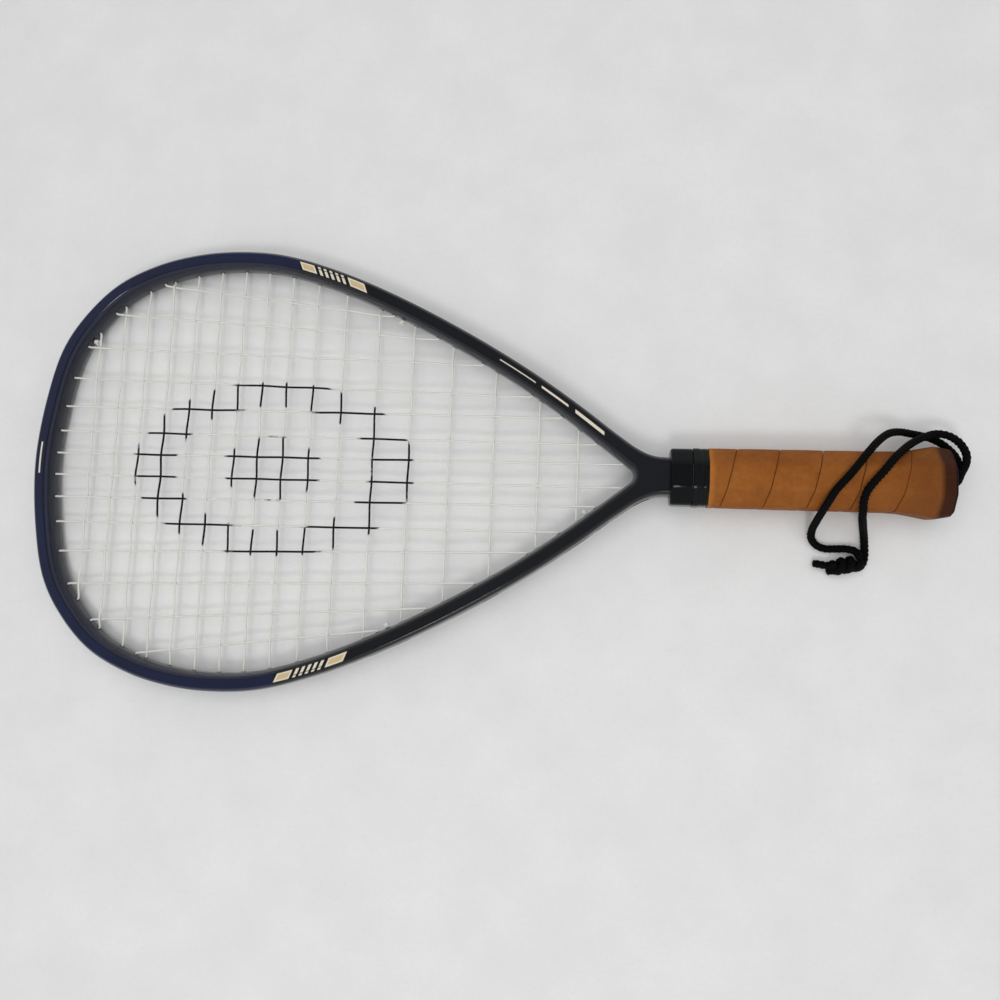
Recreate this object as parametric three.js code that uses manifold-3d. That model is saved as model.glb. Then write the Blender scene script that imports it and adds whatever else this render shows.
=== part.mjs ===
// Racquetball racket: one-piece teardrop graphite frame with a woven string bed,
// leather-wound octagonal handle, flared butt cap and a loose wrist cord.
// Millimetres, +Z up. The tip points to -X and the butt to +X. The racket lies face up,
// as in the photograph, on its tip and on the flare of its butt.

import * as THREE from 'three';
import { mergeVertices } from 'three/addons/utils/BufferGeometryUtils.js';
import Module from 'manifold-3d';

const wasm = await Module();
wasm.setup();

// Clearances
const SEAT_GAP = 0.3;
const CUT_OVERRUN = 1.6;

// Head and shaft outline
const HEAD_LENGTH = 373;
const HEAD_HALF_WIDTH = 131.8;
const SHAFT_WIDTH = 22;
const SHAFT_BLEND = 10;
const NECK_SHARE = 1.055;
// Outer edge from the tip to the neck: share of the head length, share of its half width.
const OUTLINE_SHARES = [
  [0, 0],
  [0.0105, 0.3],
  [0.0322, 0.537],
  [0.067, 0.697],
  [0.1206, 0.845],
  [0.1877, 0.938],
  [0.2547, 0.985],
  [0.3217, 1],
  [0.4021, 0.982],
  [0.496, 0.905],
  [0.59, 0.794],
  [0.697, 0.64],
  [0.804, 0.461],
  [0.885, 0.303],
  [0.944, 0.1766],
  [0.977, 0.1134],
];

// Beam section
const BEAM_WIDTH = 11;
const BEAM_HEIGHT = 16;
const CROWN_WIDTH = 5.4;
const CROWN_INSET = 2.4;
const INNER_INSET = BEAM_WIDTH - CROWN_WIDTH - CROWN_INSET;
const SHOULDER_HEIGHT_SHARE = 0.86;
const SHOULDER_INSET_SHARE = 0.58;
const INNER_FLAT_SHARE = 0.34;
const THROAT_FILLET = 5.4;
const THROAT_STRAIGHT = 45;
const HOOP_STATIONS = 90;
const STATION_EASE_SHARE = 0.42;
const FILLET_STEPS = 6;

// String groove and grommet strips
const GROOVE_WIDTH = 5.5;
const GROOVE_DEPTH = 3;
const GROOVE_START = 13;
const STRIP_THICKNESS = 1;
const STRIP_END_MARGIN = 1.5;
const TIP_STRIP_REACH_SHARE = 0.335;
const HOLE_DIAMETER = 3.6;
const BARREL_DIAMETER = 2.9;
const BARREL_BORE = 2.2;
const BARREL_PROUD = 0.2;
const BARREL_SIDES = 5;

// Strings: places of the runs, measured from the tip and from the long axis
const STRING_DIAMETER = 1.24;
const STRING_SIDES = 5;
const STRING_RECESS = 0.1;
const STRING_LEVEL = 0.8;
const MOUTH_RUN = 0.8;
const LOOP_STEP = 12.5;
const MAIN_REFERENCE_SHARE = 0.268;
// Half of the long strings: share of the head's half width, and slant across the head's length.
const MAIN_SHARES = [
  [0.822, -0.383],
  [0.679, -0.213],
  [0.5305, -0.11],
  [0.3866, -0.085],
  [0.264, -0.026],
  [0.149, -0.023],
  [0.0502, 0],
];
// Cross strings: share of the head's length from the tip.
const CROSS_SHARES = [
  0.0865, 0.1275, 0.169, 0.2105, 0.251, 0.292, 0.333, 0.373, 0.4145,
  0.458, 0.506, 0.562, 0.62, 0.6835, 0.753, 0.823, 0.8835,
];
const TIE_SPACING = 6.5;
const TIE_KNOT_DIAMETER = 3.2;

// Handle
const COLLAR_SETBACK = 7.9;
const COLLAR_START = HEAD_LENGTH + COLLAR_SETBACK;
const COLLAR_LENGTH = 11.9;
const COLLAR_SIDE = 4.85;
const COLLAR_COVER = 5.7;
const COLLAR_WIDTH = SHAFT_WIDTH + 2 * COLLAR_SIDE;
const COLLAR_HEIGHT = BEAM_HEIGHT + 2 * COLLAR_COVER;
const COLLAR_WALL = 2.3;
const COLLAR_EDGE = 1.1;
const TAPE_LENGTH = 8.2;
const TAPE_LAP = 3.3;
const TAPE_LAP_HEIGHT = 0.2;
const TAPE_PROUD = 0.15;
const GRIP_LENGTH = 126.5;
const GRIP_SIDE = 5.4;
const GRIP_COVER = 6.5;
const GRIP_WIDTH = SHAFT_WIDTH + 2 * GRIP_SIDE;
const GRIP_HEIGHT = BEAM_HEIGHT + 2 * GRIP_COVER;
const FLARE_SIDE = 3;
const FLARE_COVER = 2.7;
const FLARE_WIDTH = GRIP_WIDTH + 2 * FLARE_SIDE;
const FLARE_HEIGHT = GRIP_HEIGHT + 2 * FLARE_COVER;
const TOP_FLAT_SHARE = 0.42;
const SIDE_FLAT_SHARE = 0.43;
const CORNER_SHARE = 0.13;
// Flare of the butt: share of the grip's length, share of the swelling.
const FLARE_SHARES = [
  [0, -0.06],
  [0.3, -0.02],
  [0.72, 0],
  [0.8, 0.1],
  [0.868, 0.55],
  [0.932, 1],
  [0.966, 0.72],
  [1, -0.7],
];
const PALLET_WALL = 1.7;
const PALLET_SPLIT = 0.3;
const SHAFT_SHORT = 19.6;
const PALLET_TAIL = 1.2;

// Leather grip, one strip wound edge to edge
const LEATHER_THICKNESS = 1.8;
const LEATHER_PITCH = 22.8;
const LEATHER_SEAM = 0.6;
const LEATHER_STEPS_ACROSS = 4;
const LEATHER_FIRST_SEAM = 12.3;

// Butt cap
const CAP_SKIRT = 28.6;
const CAP_SEAT_GAP = 1.25;
const CAP_PLATE = 6.5;
const CAP_RIM = 1.6;
const CAP_RIM_PROUD = 2;
const CAP_RIM_CHAMFER = 1.7;
const PEG_DIAMETER = 3;
const PEG_SETBACK = 10.9;
const PEG_SHORT = 0.4;
const SLOT_CLEARANCE = 0.5;

// Wrist cord. Its places are measured from the butt's end: along the table and across it in
// shares of the grip's width, and up from the table in shares of the grip's height.
const CORD_DIAMETER = 4.2;
const CORD_SIDES = 8;
const CORD_STEP = 6.9;
const CORD_EXIT_RUN = 1;
// The strand that sweeps wide round the butt and drops straight to the knot.
const WIDE_STRAND_SHARES = [
  [0.125, 0.1738, 0.7172],
  [0.1982, 0.311, 0.6966],
  [0.2287, 0.4372, 0.669],
  [0.2165, 0.5494, 0.6345],
  [0.1524, 0.6814, 0.5931],
  [0.0457, 0.782, 0.5586],
  [-0.064, 0.8308, 0.5345],
  [-0.2073, 0.843, 0.531],
  [-0.378, 0.7881, 0.5931],
  [-0.6159, 0.6677, 0.7379],
  [-0.814, 0.529, 0.9172],
  [-1.0274, 0.343, 1.0966],
  [-1.2012, 0.1357, 1.1724],
  [-1.3415, -0.029, 1.1759],
  [-1.4634, -0.1936, 1.169],
  [-1.5213, -0.3552, 1.1517],
  [-1.5183, -0.5061, 1.0897],
  [-1.4878, -0.6159, 0.931],
  [-1.4177, -0.7012, 0.6897],
  [-1.3262, -0.7957, 0.3793],
  [-1.2591, -0.9101, 0.1724],
  [-1.2317, -1.0442, 0.0931],
  [-1.2317, -1.1845, 0.0966],
  [-1.2591, -1.3079, 0.1276],
  [-1.3293, -1.4024, 0.1483],
  [-1.436, -1.4207, 0.1586],
];
// The strand that crosses under it and takes the long way to the knot.
const LONG_STRAND_SHARES = [
  [0.1402, 0.1098, 0.4552],
  [0.1921, 0.2317, 0.4517],
  [0.1799, 0.3747, 0.4414],
  [0.1341, 0.4957, 0.4138],
  [0.0671, 0.5915, 0.3793],
  [-0.0518, 0.7058, 0.3448],
  [-0.189, 0.7851, 0.3241],
  [-0.3506, 0.8338, 0.331],
  [-0.5305, 0.8582, 0.3724],
  [-0.7561, 0.8704, 0.4828],
  [-0.9756, 0.8171, 0.6552],
  [-1.2043, 0.6616, 0.8793],
  [-1.4299, 0.4345, 1.0759],
  [-1.6159, 0.2058, 1.1655],
  [-1.7439, 0.0412, 1.169],
  [-1.8628, -0.096, 1.1655],
  [-1.9665, -0.2271, 1.1483],
  [-2.0427, -0.375, 1.0793],
  [-2.1067, -0.5366, 0.9069],
  [-2.1372, -0.6799, 0.6207],
  [-2.1433, -0.8171, 0.3103],
  [-2.1128, -0.9421, 0.1379],
  [-2.0305, -1.0427, 0.0897],
  [-1.8902, -1.1021, 0.0793],
  [-1.689, -1.1021, 0.0793],
  [-1.5244, -1.0991, 0.0966],
  [-1.4024, -1.1341, 0.1517],
  [-1.3506, -1.2104, 0.2138],
  [-1.3811, -1.2805, 0.2207],
];
// Lumps of the knot: centre on the table, then half length and half width in shares of the
// cord's diameter.
const KNOT_LUMP_SHARES = [
  [-1.5122, -1.3582, 1.6429, 1.0952],
  [-1.6646, -1.4039, 1.0952, 1.1667],
  [-1.8018, -1.4283, 1.2381, 1],
];
const KNOT_SQUASH_SHARE = 0.96;
const TAIL_DIAMETER = 3.8;
// Cut ends of the two strands beyond the knot: where each leaves it and where it stops.
const KNOT_TAIL_SHARES = [
  [[-1.814, -1.3795, 0.1586], [-2.1463, -1.343, 0.1172]],
  [[-1.814, -1.4527, 0.1103], [-2.0122, -1.5076, 0.0828]],
];

// Colours from the photograph
const NAVY = 0x232a44;
const BLACK_PLASTIC = 0x17191b;
const BLACK_RUBBER = 0x1c1d1e;
const STRING_CLEAR = 0xe6e8e4;
const LEATHER = 0x8f531f;
const POLYURETHANE = 0xa8a08c;
const STEEL = 0x9a9ca0;
const CORD_BLACK = 0x0d0d0e;

// Welds shared corners, drops collapsed faces and turns every face outward.
function closed(positions, faces) {
  const raw = new THREE.BufferGeometry();
  raw.setAttribute('position', new THREE.Float32BufferAttribute(positions, 3));
  raw.setIndex(faces);
  const merged = mergeVertices(raw, 1e-4);
  const p = merged.getAttribute('position');
  const index = merged.getIndex().array;
  const a = new THREE.Vector3();
  const b = new THREE.Vector3();
  const c = new THREE.Vector3();
  const kept = [];
  let volume = 0;
  for (let i = 0; i < index.length; i += 3) {
    const [u, v, w] = [index[i], index[i + 1], index[i + 2]];
    if (u === v || v === w || w === u) continue;
    kept.push(u, v, w);
    a.fromBufferAttribute(p, u);
    b.fromBufferAttribute(p, v);
    c.fromBufferAttribute(p, w);
    volume += a.dot(b.cross(c));
  }
  if (volume < 0) {
    for (let i = 0; i < kept.length; i += 3) [kept[i], kept[i + 1]] = [kept[i + 1], kept[i]];
  }
  merged.setIndex(kept);
  return merged;
}

// Library geometry with only its corners left, ready for a cut or a join.
function bare(geometry) {
  const g = geometry.index ? geometry.clone() : mergeVertices(geometry.clone());
  const p = g.getAttribute('position');
  return closed(Array.from(p.array), Array.from(g.getIndex().array));
}

function toSolid(geometry) {
  const vertProperties = new Float32Array(geometry.getAttribute('position').array);
  const triVerts = new Uint32Array(geometry.getIndex().array);
  return new wasm.Manifold(new wasm.Mesh({ numProp: 3, vertProperties, triVerts }));
}

function toGeometry(solid) {
  const mesh = solid.getMesh();
  return closed(Array.from(mesh.vertProperties), Array.from(mesh.triVerts));
}

function cutAll(solid, cutters) {
  return cutters.reduce((left, cutter) => left.subtract(toSolid(cutter)), solid);
}

// Skin over sections of equal point count, with a flat face over each end.
function loft(sections) {
  const n = sections[0].length;
  const positions = sections.flat().flatMap((v) => [v.x, v.y, v.z]);
  const faces = [];
  for (let s = 0; s + 1 < sections.length; s++) {
    for (let i = 0; i < n; i++) {
      const j = (i + 1) % n;
      const [a, b] = [s * n + i, s * n + j];
      faces.push(a, b, b + n, a, b + n, a + n);
    }
  }
  const last = (sections.length - 1) * n;
  for (let i = 0; i < n / 2 - 1; i++) {
    const [a, b, c, d] = [i, i + 1, n - 2 - i, n - 1 - i];
    faces.push(a, c, b, a, d, c);
    faces.push(last + a, last + b, last + c, last + a, last + c, last + d);
  }
  return closed(positions, faces);
}

// Tube of constant section along straight runs, mitred where two runs meet.
function tubeAlong(points, diameter, sides) {
  const runs = points.slice(1).map((p, i) => p.clone().sub(points[i]).normalize());
  const side = new THREE.Vector3(0, 0, 1).cross(runs[0]);
  if (side.length() < STATION_EASE_SHARE) side.set(0, 1, 0);
  side.sub(runs[0].clone().multiplyScalar(side.dot(runs[0]))).normalize();
  const up = runs[0].clone().cross(side);
  // A ring around the polygon's true radius keeps the tube inside its diameter.
  let spokes = Array.from({ length: sides }, (_, k) => {
    const angle = (2 * Math.PI * k) / sides;
    return side.clone().multiplyScalar((Math.cos(angle) * diameter) / 2)
      .addScaledVector(up, (Math.sin(angle) * diameter) / 2);
  });
  const rings = points.map((p, i) => {
    const into = runs[Math.max(i - 1, 0)];
    const out = runs[Math.min(i, runs.length - 1)];
    const plane = into.clone().add(out).normalize();
    const ring = spokes.map((v) => v.clone().addScaledVector(into, -v.dot(plane) / into.dot(plane)));
    spokes = ring.map((v) => v.clone().addScaledVector(out, -v.dot(out)));
    return ring.map((v) => v.add(p));
  });
  return loft(rings);
}

// The outer edge of the head as one curve, neck to tip to neck, counter-clockwise.
function hoopCurve() {
  const half = SHAFT_WIDTH / 2;
  const side = OUTLINE_SHARES.map(([x, y]) => new THREE.Vector3(x * HEAD_LENGTH, y * HEAD_HALF_WIDTH, 0));
  side.push(new THREE.Vector3(HEAD_LENGTH, half * NECK_SHARE, 0));
  side.push(new THREE.Vector3(HEAD_LENGTH + SHAFT_BLEND, half, 0));
  const upper = side.slice(1).reverse();
  const lower = side.slice(1).map((p) => new THREE.Vector3(p.x, -p.y, 0));
  const curve = new THREE.CatmullRomCurve3([...upper, side[0], ...lower], false, 'centripetal');
  curve.arcLengthDivisions = 1600;
  return curve;
}

const HOOP = hoopCurve();
const HOOP_RUN = HOOP.getLength();

// A place on the hoop: a point on its outer edge and the outward direction there.
function stationAt(u) {
  const t = HOOP.getTangentAt(u);
  return { u, point: HOOP.getPointAt(u), out: new THREE.Vector3(t.y, -t.x, 0).normalize() };
}

// A point set in from the outer edge, at a height above the string plane.
function inFrom(station, inset, z) {
  const p = station.point.clone().addScaledVector(station.out, -inset);
  p.z = z;
  return p;
}

// Stations, closer together towards the neck, where the outline turns inward.
function hoopStations() {
  return Array.from({ length: HOOP_STATIONS + 1 }, (_, k) => {
    const share = k / HOOP_STATIONS;
    const eased = share - (STATION_EASE_SHARE * Math.sin(2 * Math.PI * share)) / (2 * Math.PI);
    return stationAt(eased);
  });
}

const STATIONS = hoopStations();
const BARREL_REACH = BEAM_WIDTH + BARREL_PROUD;
const STRIP_INNER = GROOVE_DEPTH - SEAT_GAP;
const STRIP_OUTER = STRIP_INNER - STRIP_THICKNESS;
const STRING_TRACK = STRING_RECESS + STRING_DIAMETER / 2;

// First place from the neck, or last before the tip, where the mouths of barrels meet a line.
function meets(line, fromTip) {
  const steps = 600;
  const miss = (u) => line(inFrom(stationAt(u), BARREL_REACH + MOUTH_RUN, 0));
  const order = Array.from({ length: steps }, (_, k) => (0.5 * (k + 0.5)) / steps);
  if (fromTip) order.reverse();
  for (let i = 1; i < order.length; i++) {
    let [a, b] = [order[i - 1], order[i]];
    if (miss(a) * miss(b) > 0) continue;
    for (let k = 0; k < 24; k++) {
      const m = (a + b) / 2;
      if (miss(a) * miss(m) > 0) a = m;
      else b = m;
    }
    return (a + b) / 2;
  }
  throw new Error('a string misses the hoop');
}

// Long string runs from the +Y side to the -Y side, with their slant and their two holes.
function mainRuns() {
  const at = MAIN_REFERENCE_SHARE * HEAD_LENGTH;
  const upper = MAIN_SHARES.map(([place, slantShare]) => {
    const slant = (slantShare * HEAD_HALF_WIDTH) / HEAD_LENGTH;
    const y = (x) => place * HEAD_HALF_WIDTH + slant * (x - at);
    const line = (p) => p.y - y(p.x);
    return { y, tip: meets(line, true), throat: meets(line, false) };
  });
  const lower = upper.map((r) => ({ y: (x) => -r.y(x), tip: 1 - r.tip, throat: 1 - r.throat })).reverse();
  return [...upper, ...lower];
}

// Cross string runs from the tip to the throat, with their holes on the +Y and the -Y arm.
function crossRuns() {
  return CROSS_SHARES.map((share) => {
    const x = share * HEAD_LENGTH;
    const plus = meets((p) => p.x - x, true);
    return { x, plus, minus: 1 - plus };
  });
}

const MAINS = mainRuns();
const CROSSES = crossRuns();
const TIE_SHARE = TIE_SPACING / HOOP_RUN;
// Each string ends in a hole of its own beside the hole of its first and last run.
const MAIN_TIES = [MAINS[0].throat - TIE_SHARE, MAINS[MAINS.length - 1].throat + TIE_SHARE];
const CROSS_TIES = [CROSSES[0].plus + TIE_SHARE, CROSSES[CROSSES.length - 1].minus + TIE_SHARE];

// Every string hole, with its place along the hoop and its height.
function stringHoles() {
  const mains = MAINS.flatMap((r) => [r.tip, r.throat]).concat(MAIN_TIES);
  const crosses = CROSSES.flatMap((r) => [r.plus, r.minus]).concat(CROSS_TIES);
  return [
    ...mains.map((u) => ({ u, z: STRING_LEVEL })),
    ...crosses.map((u) => ({ u, z: -STRING_LEVEL })),
  ].sort((a, b) => a.u - b.u);
}

const HOLES = stringHoles();

// Straight prism square to the hoop at a hole, between two depths from its outer edge.
function plugAt(hole, diameter, from, to) {
  const station = stationAt(hole.u);
  const g = new THREE.CylinderGeometry(diameter / 2, diameter / 2, to - from, BARREL_SIDES);
  const turn = new THREE.Quaternion().setFromUnitVectors(new THREE.Vector3(0, 1, 0), station.out);
  g.applyQuaternion(turn);
  const middle = inFrom(station, (from + to) / 2, hole.z);
  g.translate(middle.x, middle.y, middle.z);
  return bare(g);
}

// Edge of the open hoop inside the beam, closed by the fillet of the throat.
function innerEdge() {
  const neckShare = THROAT_STRAIGHT / HOOP_RUN;
  const first = stationAt(neckShare);
  const last = stationAt(1 - neckShare);
  const arms = [first, ...STATIONS.filter((s) => s.u > neckShare && s.u < 1 - neckShare), last];
  const edge = arms.map((s) => ({ point: inFrom(s, BEAM_WIDTH, 0), out: s.out }));
  const seat = edge[0];
  const inward = seat.out.clone().negate();
  const along = new THREE.Vector3(-seat.out.y, seat.out.x, 0).negate();
  // Centre of the fillet: on the long axis, one radius in from the arm's inner wall.
  const start = seat.point.clone().addScaledVector(inward, THROAT_FILLET);
  const centre = start.clone().addScaledVector(along, -start.y / along.y);
  const open = Math.atan2(seat.out.y, seat.out.x);
  const fillet = Array.from({ length: FILLET_STEPS + 1 }, (_, k) => {
    const angle = -open + (2 * open * k) / FILLET_STEPS;
    const out = new THREE.Vector3(Math.cos(angle), Math.sin(angle), 0);
    return { point: centre.clone().addScaledVector(out, THROAT_FILLET), out };
  });
  return [...edge, ...fillet];
}

// One graphite moulding: hoop, throat and the shaft that runs on inside the handle.
function frameGeometry() {
  const half = SHAFT_WIDTH / 2;
  const edge = STATIONS.map((s) => ({
    ...s,
    grooved: Math.min(s.u, 1 - s.u) * HOOP_RUN > GROOVE_START,
  }));
  const end = (y) => ({
    point: new THREE.Vector3(SHAFT_END, y, 0),
    out: new THREE.Vector3(1, Math.sign(y), 0),
    grooved: false,
  });
  const outline = [end(half), ...edge, end(-half)];
  const inner = innerEdge();
  const top = BEAM_HEIGHT / 2;
  const mouth = GROOVE_WIDTH / 2;
  const shoulder = (inset) => [top * SHOULDER_HEIGHT_SHARE, () => inset * SHOULDER_INSET_SHARE];
  const outerHalf = [
    [top, () => CROWN_INSET],
    shoulder(CROWN_INSET),
    [mouth, () => 0],
    [mouth, (s) => (s.grooved ? GROOVE_DEPTH : 0)],
  ];
  const innerHalf = [
    [top, () => INNER_INSET],
    shoulder(INNER_INSET),
    [top * INNER_FLAT_SHARE, () => 0],
  ];
  const bothHalves = (rows) => [...rows, ...rows.toReversed().map(([z, inset]) => [-z, inset])];
  const ring = (stations, [z, inset], sign) => stations.map((s) => {
    const p = s.point.clone().addScaledVector(s.out, -sign * inset(s));
    p.z = z;
    return p;
  });
  const outerRings = bothHalves(outerHalf).map((row) => ring(outline, row, 1));
  const innerRings = bothHalves(innerHalf).map((row) => ring(inner, row, -1));
  const positions = [];
  const faces = [];
  const wall = (rings) => {
    const n = rings[0].length;
    const base = positions.length / 3;
    rings.flat().forEach((v) => positions.push(v.x, v.y, v.z));
    for (let r = 0; r + 1 < rings.length; r++) {
      for (let i = 0; i < n; i++) {
        const a = base + r * n + i;
        const b = base + r * n + ((i + 1) % n);
        faces.push(a, a + n, b + n, a, b + n, b);
      }
    }
    return { base, last: base + (rings.length - 1) * n };
  };
  const outerWall = wall(outerRings);
  const innerWall = wall(innerRings.map((r) => r.toReversed()));
  const flat = (v) => new THREE.Vector2(v.x, v.y);
  const hole = innerRings[0].toReversed();
  const cap = THREE.ShapeUtils.triangulateShape(outerRings[0].map(flat), [hole.map(flat)]);
  const n = outline.length;
  for (const [i, j, k] of cap) {
    const onTop = (v) => (v < n ? outerWall.base + v : innerWall.base + v - n);
    const below = (v) => (v < n ? outerWall.last + v : innerWall.last + v - n);
    faces.push(onTop(i), onTop(j), onTop(k), below(i), below(k), below(j));
  }
  const drills = HOLES.map((h) =>
    plugAt(h, HOLE_DIAMETER, GROOVE_DEPTH - CUT_OVERRUN, BEAM_WIDTH + CUT_OVERRUN));
  return toGeometry(cutAll(toSolid(closed(positions, faces)), drills));
}

// Vinyl strip in the groove, with a barrel through the beam for each string hole.
function stripGeometry(fromShare, toShare) {
  const between = STATIONS.filter((s) => s.u > fromShare && s.u < toShare);
  const high = GROOVE_WIDTH / 2 - SEAT_GAP;
  const sections = [stationAt(fromShare), ...between, stationAt(toShare)].map((s) => [
    inFrom(s, STRIP_OUTER, high),
    inFrom(s, STRIP_OUTER, -high),
    inFrom(s, STRIP_INNER, -high),
    inFrom(s, STRIP_INNER, high),
  ]);
  const mine = HOLES.filter((h) => h.u > fromShare && h.u < toShare);
  const root = STRIP_INNER - STRIP_THICKNESS / 2;
  let strip = toSolid(loft(sections));
  for (const hole of mine) strip = strip.add(toSolid(plugAt(hole, BARREL_DIAMETER, root, BARREL_REACH)));
  const bores = mine.map((h) => plugAt(h, BARREL_BORE, -CUT_OVERRUN, BARREL_REACH + CUT_OVERRUN));
  return toGeometry(cutAll(strip, bores));
}

// Where the tip strip ends: midway in the widest space between holes near its reach.
function stripBreak() {
  const near = HOLES.filter((h) => Math.abs(h.u - TIP_STRIP_REACH_SHARE) * HOOP_RUN < 4 * LOOP_STEP);
  let best = { width: 0, u: TIP_STRIP_REACH_SHARE };
  for (let i = 1; i < near.length; i++) {
    const width = near[i].u - near[i - 1].u;
    if (width > best.width) best = { width, u: (near[i].u + near[i - 1].u) / 2 };
  }
  return best.u;
}

const STRIP_BREAK = stripBreak();
const GROOVE_FIRST = STATIONS.find((s) => s.u * HOOP_RUN > GROOVE_START).u;
const STRIP_END = GROOVE_FIRST + STRIP_END_MARGIN / HOOP_RUN;

// From the groove, through a barrel, to its mouth inside the hoop.
function throughHole(u, z) {
  const station = stationAt(u);
  return [inFrom(station, STRING_TRACK, z), inFrom(station, BARREL_REACH + MOUTH_RUN, z)];
}

// Along the groove from one hole to the next.
function loopBetween(u, v, z) {
  const steps = Math.max(1, Math.round((Math.abs(v - u) * HOOP_RUN) / LOOP_STEP));
  return Array.from({ length: steps - 1 }, (_, k) =>
    inFrom(stationAt(u + ((v - u) * (k + 1)) / steps), STRING_TRACK, z));
}

// Over one string and under the next: the side of a crossing.
function weaveHeight(main, cross) {
  const reach = (STRING_DIAMETER + SEAT_GAP) / 2;
  return (main + cross) % 2 ? -reach : reach;
}

// Crossings that lie inside the hoop.
function crossesMain(i, k) {
  const mouthX = (u) => inFrom(stationAt(u), BARREL_REACH + MOUTH_RUN, 0);
  const run = MAINS[i];
  const { x, plus } = CROSSES[k];
  return x > mouthX(run.tip).x && x < mouthX(run.throat).x && Math.abs(run.y(x)) < mouthX(plus).y;
}

// Path of one long string: out of its tie hole, fourteen runs up and down, into a tie hole.
function mainPath() {
  const z = STRING_LEVEL;
  const tieEnd = (u) => inFrom(stationAt(u), BARREL_REACH, z);
  const tieGroove = (u) => inFrom(stationAt(u), STRING_TRACK, z);
  const path = [tieEnd(MAIN_TIES[0]), tieGroove(MAIN_TIES[0])];
  MAINS.forEach((run, i) => {
    const up = i % 2 === 0;
    const weave = CROSSES.map((c, k) => ({ c, k })).filter(({ k }) => crossesMain(i, k))
      .map(({ c, k }) => new THREE.Vector3(c.x, run.y(c.x), weaveHeight(i, k)));
    if (up) weave.reverse();
    const [near, far] = up ? [run.throat, run.tip] : [run.tip, run.throat];
    path.push(...throughHole(near, z), ...weave, ...throughHole(far, z).reverse());
    const next = MAINS[i + 1];
    if (next) path.push(...loopBetween(far, up ? next.tip : next.throat, z));
  });
  path.push(tieGroove(MAIN_TIES[1]), tieEnd(MAIN_TIES[1]));
  return path;
}

// Path of the cross string, from side to side down the head.
function crossPath() {
  const z = -STRING_LEVEL;
  const tieEnd = (u) => inFrom(stationAt(u), BARREL_REACH, z);
  const tieGroove = (u) => inFrom(stationAt(u), STRING_TRACK, z);
  const path = [tieEnd(CROSS_TIES[0]), tieGroove(CROSS_TIES[0])];
  CROSSES.forEach((run, k) => {
    const down = k % 2 === 0;
    const weave = MAINS.map((m, i) => ({ m, i })).filter(({ i }) => crossesMain(i, k))
      .map(({ m, i }) => new THREE.Vector3(run.x, m.y(run.x), -weaveHeight(i, k)));
    if (!down) weave.reverse();
    const [near, far] = down ? [run.plus, run.minus] : [run.minus, run.plus];
    path.push(...throughHole(near, z), ...weave, ...throughHole(far, z).reverse());
    const next = CROSSES[k + 1];
    if (next) path.push(...loopBetween(far, down ? next.minus : next.plus, z));
  });
  path.push(tieGroove(CROSS_TIES[1]), tieEnd(CROSS_TIES[1]));
  return path;
}

function stringGeometry(path) {
  return tubeAlong(path, STRING_DIAMETER, STRING_SIDES);
}

// Tied end of a string, drawn up against the mouth of its barrel.
function tieKnotGeometry(u, z) {
  const radius = TIE_KNOT_DIAMETER / 2;
  const centre = inFrom(stationAt(u), BARREL_REACH + SEAT_GAP + radius, z);
  const g = new THREE.IcosahedronGeometry(radius, 1);
  g.translate(centre.x, centre.y, centre.z);
  g.deleteAttribute('normal');
  g.deleteAttribute('uv');
  return bare(g);
}

// Eight-sided grip section with eased corners, in the plane square to the long axis.
function octagon(x, halfWidth, halfHeight) {
  const a = [TOP_FLAT_SHARE, 1];
  const b = [1, SIDE_FLAT_SHARE];
  const mix = (p, q, t) => [p[0] + (q[0] - p[0]) * t, p[1] + (q[1] - p[1]) * t];
  const quarter = [
    mix(a, [0, 1], 2 * CORNER_SHARE),
    mix(a, b, CORNER_SHARE),
    mix(b, a, CORNER_SHARE),
    mix(b, [1, 0], 2 * CORNER_SHARE),
  ];
  const back = quarter.toReversed();
  const shares = [
    ...quarter,
    ...back.map(([y, z]) => [y, -z]),
    ...quarter.map(([y, z]) => [-y, -z]),
    ...back.map(([y, z]) => [-y, z]),
  ];
  return shares.map(([y, z]) => new THREE.Vector3(x, y * halfWidth, z * halfHeight));
}

// Beam section of the shaft, grown by a clearance.
function shaftSection(x, grow) {
  const top = BEAM_HEIGHT / 2 + grow;
  const half = SHAFT_WIDTH / 2 + grow;
  const quarter = [
    [half - CROWN_INSET, top],
    [half - CROWN_INSET * SHOULDER_INSET_SHARE, top * SHOULDER_HEIGHT_SHARE],
    [half, top * INNER_FLAT_SHARE],
  ];
  const back = quarter.toReversed();
  const points = [
    ...quarter,
    ...back.map(([y, z]) => [y, -z]),
    ...quarter.map(([y, z]) => [-y, -z]),
    ...back.map(([y, z]) => [-y, z]),
  ];
  return points.map(([y, z]) => new THREE.Vector3(x, y, z));
}

// Stations along the handle, from the same lengths.
const TAPE_START = COLLAR_START + COLLAR_LENGTH + SEAT_GAP;
const TAPE_END = TAPE_START + TAPE_LENGTH;
const GRIP_START = TAPE_END + SEAT_GAP;
const GRIP_END = GRIP_START + GRIP_LENGTH;
const BUTT_END = GRIP_END + SEAT_GAP + CAP_RIM;
const CAP_START = BUTT_END - CAP_SKIRT;
const SHAFT_END = BUTT_END - SHAFT_SHORT;
const PALLET_END = SHAFT_END + PALLET_TAIL;
const SLEEVE_WIDTH = SHAFT_WIDTH + 2 * (SEAT_GAP + PALLET_WALL);
const SLEEVE_HEIGHT = COLLAR_HEIGHT - 2 * (COLLAR_WALL + SEAT_GAP);
const PEG_X = BUTT_END - PEG_SETBACK;

const FLARE_CURVE = new THREE.CatmullRomCurve3(
  FLARE_SHARES.map(([along, swell]) => new THREE.Vector3(along * GRIP_LENGTH, swell, 0)),
  false,
  'centripetal',
);
const FLARE_TABLE = FLARE_CURVE.getPoints(180);

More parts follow.
